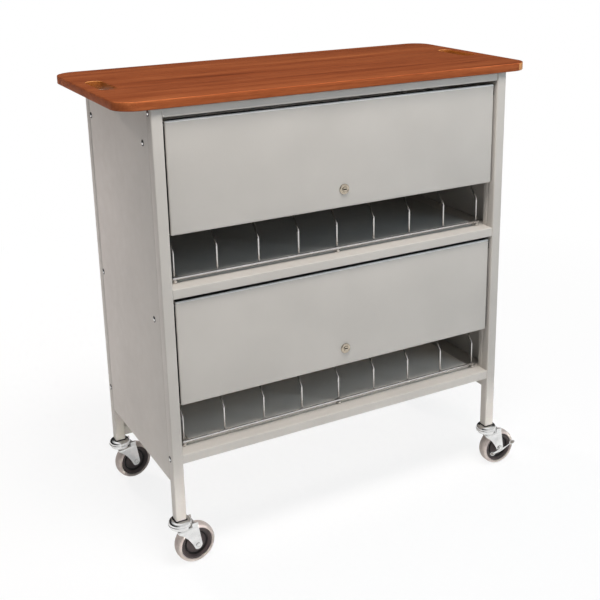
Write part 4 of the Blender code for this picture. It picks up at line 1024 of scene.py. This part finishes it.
def make_world(scene):
    """Soft light, white to the camera, and a studio that only shiny pieces mirror."""
    scene.world = bpy.data.worlds.new("studio")
    scene.world.use_nodes = True
    g = Graph(scene.world.node_tree)
    g.tree.nodes.clear()
    path = g.node("LightPath")
    soft = g.node("Background", Color=(0.89, 0.95, 1.0, 1), Strength=0.31)
    white = g.node("Background", Color=(1, 1, 1, 1), Strength=1.0)
    clear = g.math("MAXIMUM", path.outputs["Is Camera Ray"], path.outputs["Is Transmission Ray"])
    plain = g.mixed(clear, soft.outputs[0], white.outputs[0])

    # the studio is white in front and overhead, dark to the left and behind
    way = g.node("SeparateXYZ")
    g.feed(g.node("TexCoord").outputs["Generated"], way.inputs[0])
    front = g.span(way.outputs["Y"], -0.15, 0.35, 1.0, 0.04)
    left = g.span(way.outputs["X"], -0.75, -0.2, 0.05, 1.0)
    above = g.span(way.outputs["Z"], 0.55, 0.95, 0.0, 1.4)
    mirrored = g.node("Background")
    g.feed(g.math("MAXIMUM", g.math("MULTIPLY", front, left), above), mirrored.inputs["Strength"])
    whole = g.mixed(path.outputs["Is Glossy Ray"], plain, mirrored.outputs[0])
    g.feed(whole, g.node("OutputWorld").inputs["Surface"])


def make_floor():
    """A pale floor that glows to the camera, more so far away, and to shiny pieces, more so in front."""
    bm = bmesh.new()
    bmesh.ops.create_circle(bm, cap_ends=True, segments=64, radius=14)
    floor = linked("floor", bm)
    floor.location = (0, 0, -0.0006)
    f = Finish("floor", 0.8, specular=0.1)
    f.shader.inputs["Base Color"].default_value = (0.86, 0.86, 0.86, 1)
    glow = f.node("Emission", Color=(1, 1, 1, 1), Strength=1.0)
    path = f.node("LightPath")
    reach = f.node("VectorMath")
    reach.operation = "LENGTH"
    f.feed(f.place, reach.inputs[0])
    spot = f.node("SeparateXYZ")
    f.feed(f.place, spot.inputs[0])
    far = f.span(reach.outputs["Value"], 0.7, 2.4, 0.84, 1.0)
    ahead = f.span(spot.outputs["Y"], -0.35, 0.3, 0.8, 0.1)
    seen = f.math("MULTIPLY", path.outputs["Is Camera Ray"], far)
    sheen = f.math("MULTIPLY", path.outputs["Is Glossy Ray"], ahead)
    mix = f.mixed(f.math("MAXIMUM", seen, sheen), f.shader.outputs[0], glow.outputs[0])
    f.feed(mix, f.tree.nodes["Material Output"].inputs["Surface"])
    floor.data.materials.append(f.material)


def make_lamps(scene):
    for name, place, aim, size, power, colour in (
        ("key", (1.9, -2.4, 1.9), (0, 0, 0.6), 1.4, 16.5, (0.62, 0.82, 1.0)),
        ("top", (-0.2, -1.25, 3.8), (0, 0, 0.4), 1.0, 107, (1.0, 0.965, 0.945)),
        ("low", (-0.1, -2.6, 0.30), (0.03, -0.2, 0.10), 1.3, 0.65, (1.0, 0.99, 0.98)),
        ("side", (-1.25, 4.0, 1.85), (-0.4, 0, 0.6), 0.3, 94, (1.0, 0.86, 0.82)),
        ("rear", (0.8, 3.0, 2.2), (0, 0, 0.6), 2.2, 8, (0.98, 0.99, 1.0)),
    ):
        data = bpy.data.lights.new(name, "AREA")
        data.shape = "SQUARE"
        data.size = size
        data.energy = power
        data.color = colour
        if name == "low":
            data.shape = "RECTANGLE"
            data.size_y = 0.12
            data.spread = math.radians(9)
        light = bpy.data.objects.new(name, data)
        light.location = place
        light.rotation_euler = (Vector(aim) - Vector(place)).to_track_quat("-Z", "Y").to_euler()
        light.visible_camera = False
        light.visible_glossy = False
        scene.collection.objects.link(light)


def make_stage():
    scene = bpy.context.scene
    scene.view_settings.view_transform = "Standard"
    make_world(scene)
    make_floor()
    make_lamps(scene)


make_camera()
dress_frame()
make_worktop()
make_cabinet()
make_screws()
for tier in TIERS:
    make_rack(tier)
    make_door(tier)
for caster in CASTER_TURN:
    make_caster(caster)
make_stage()
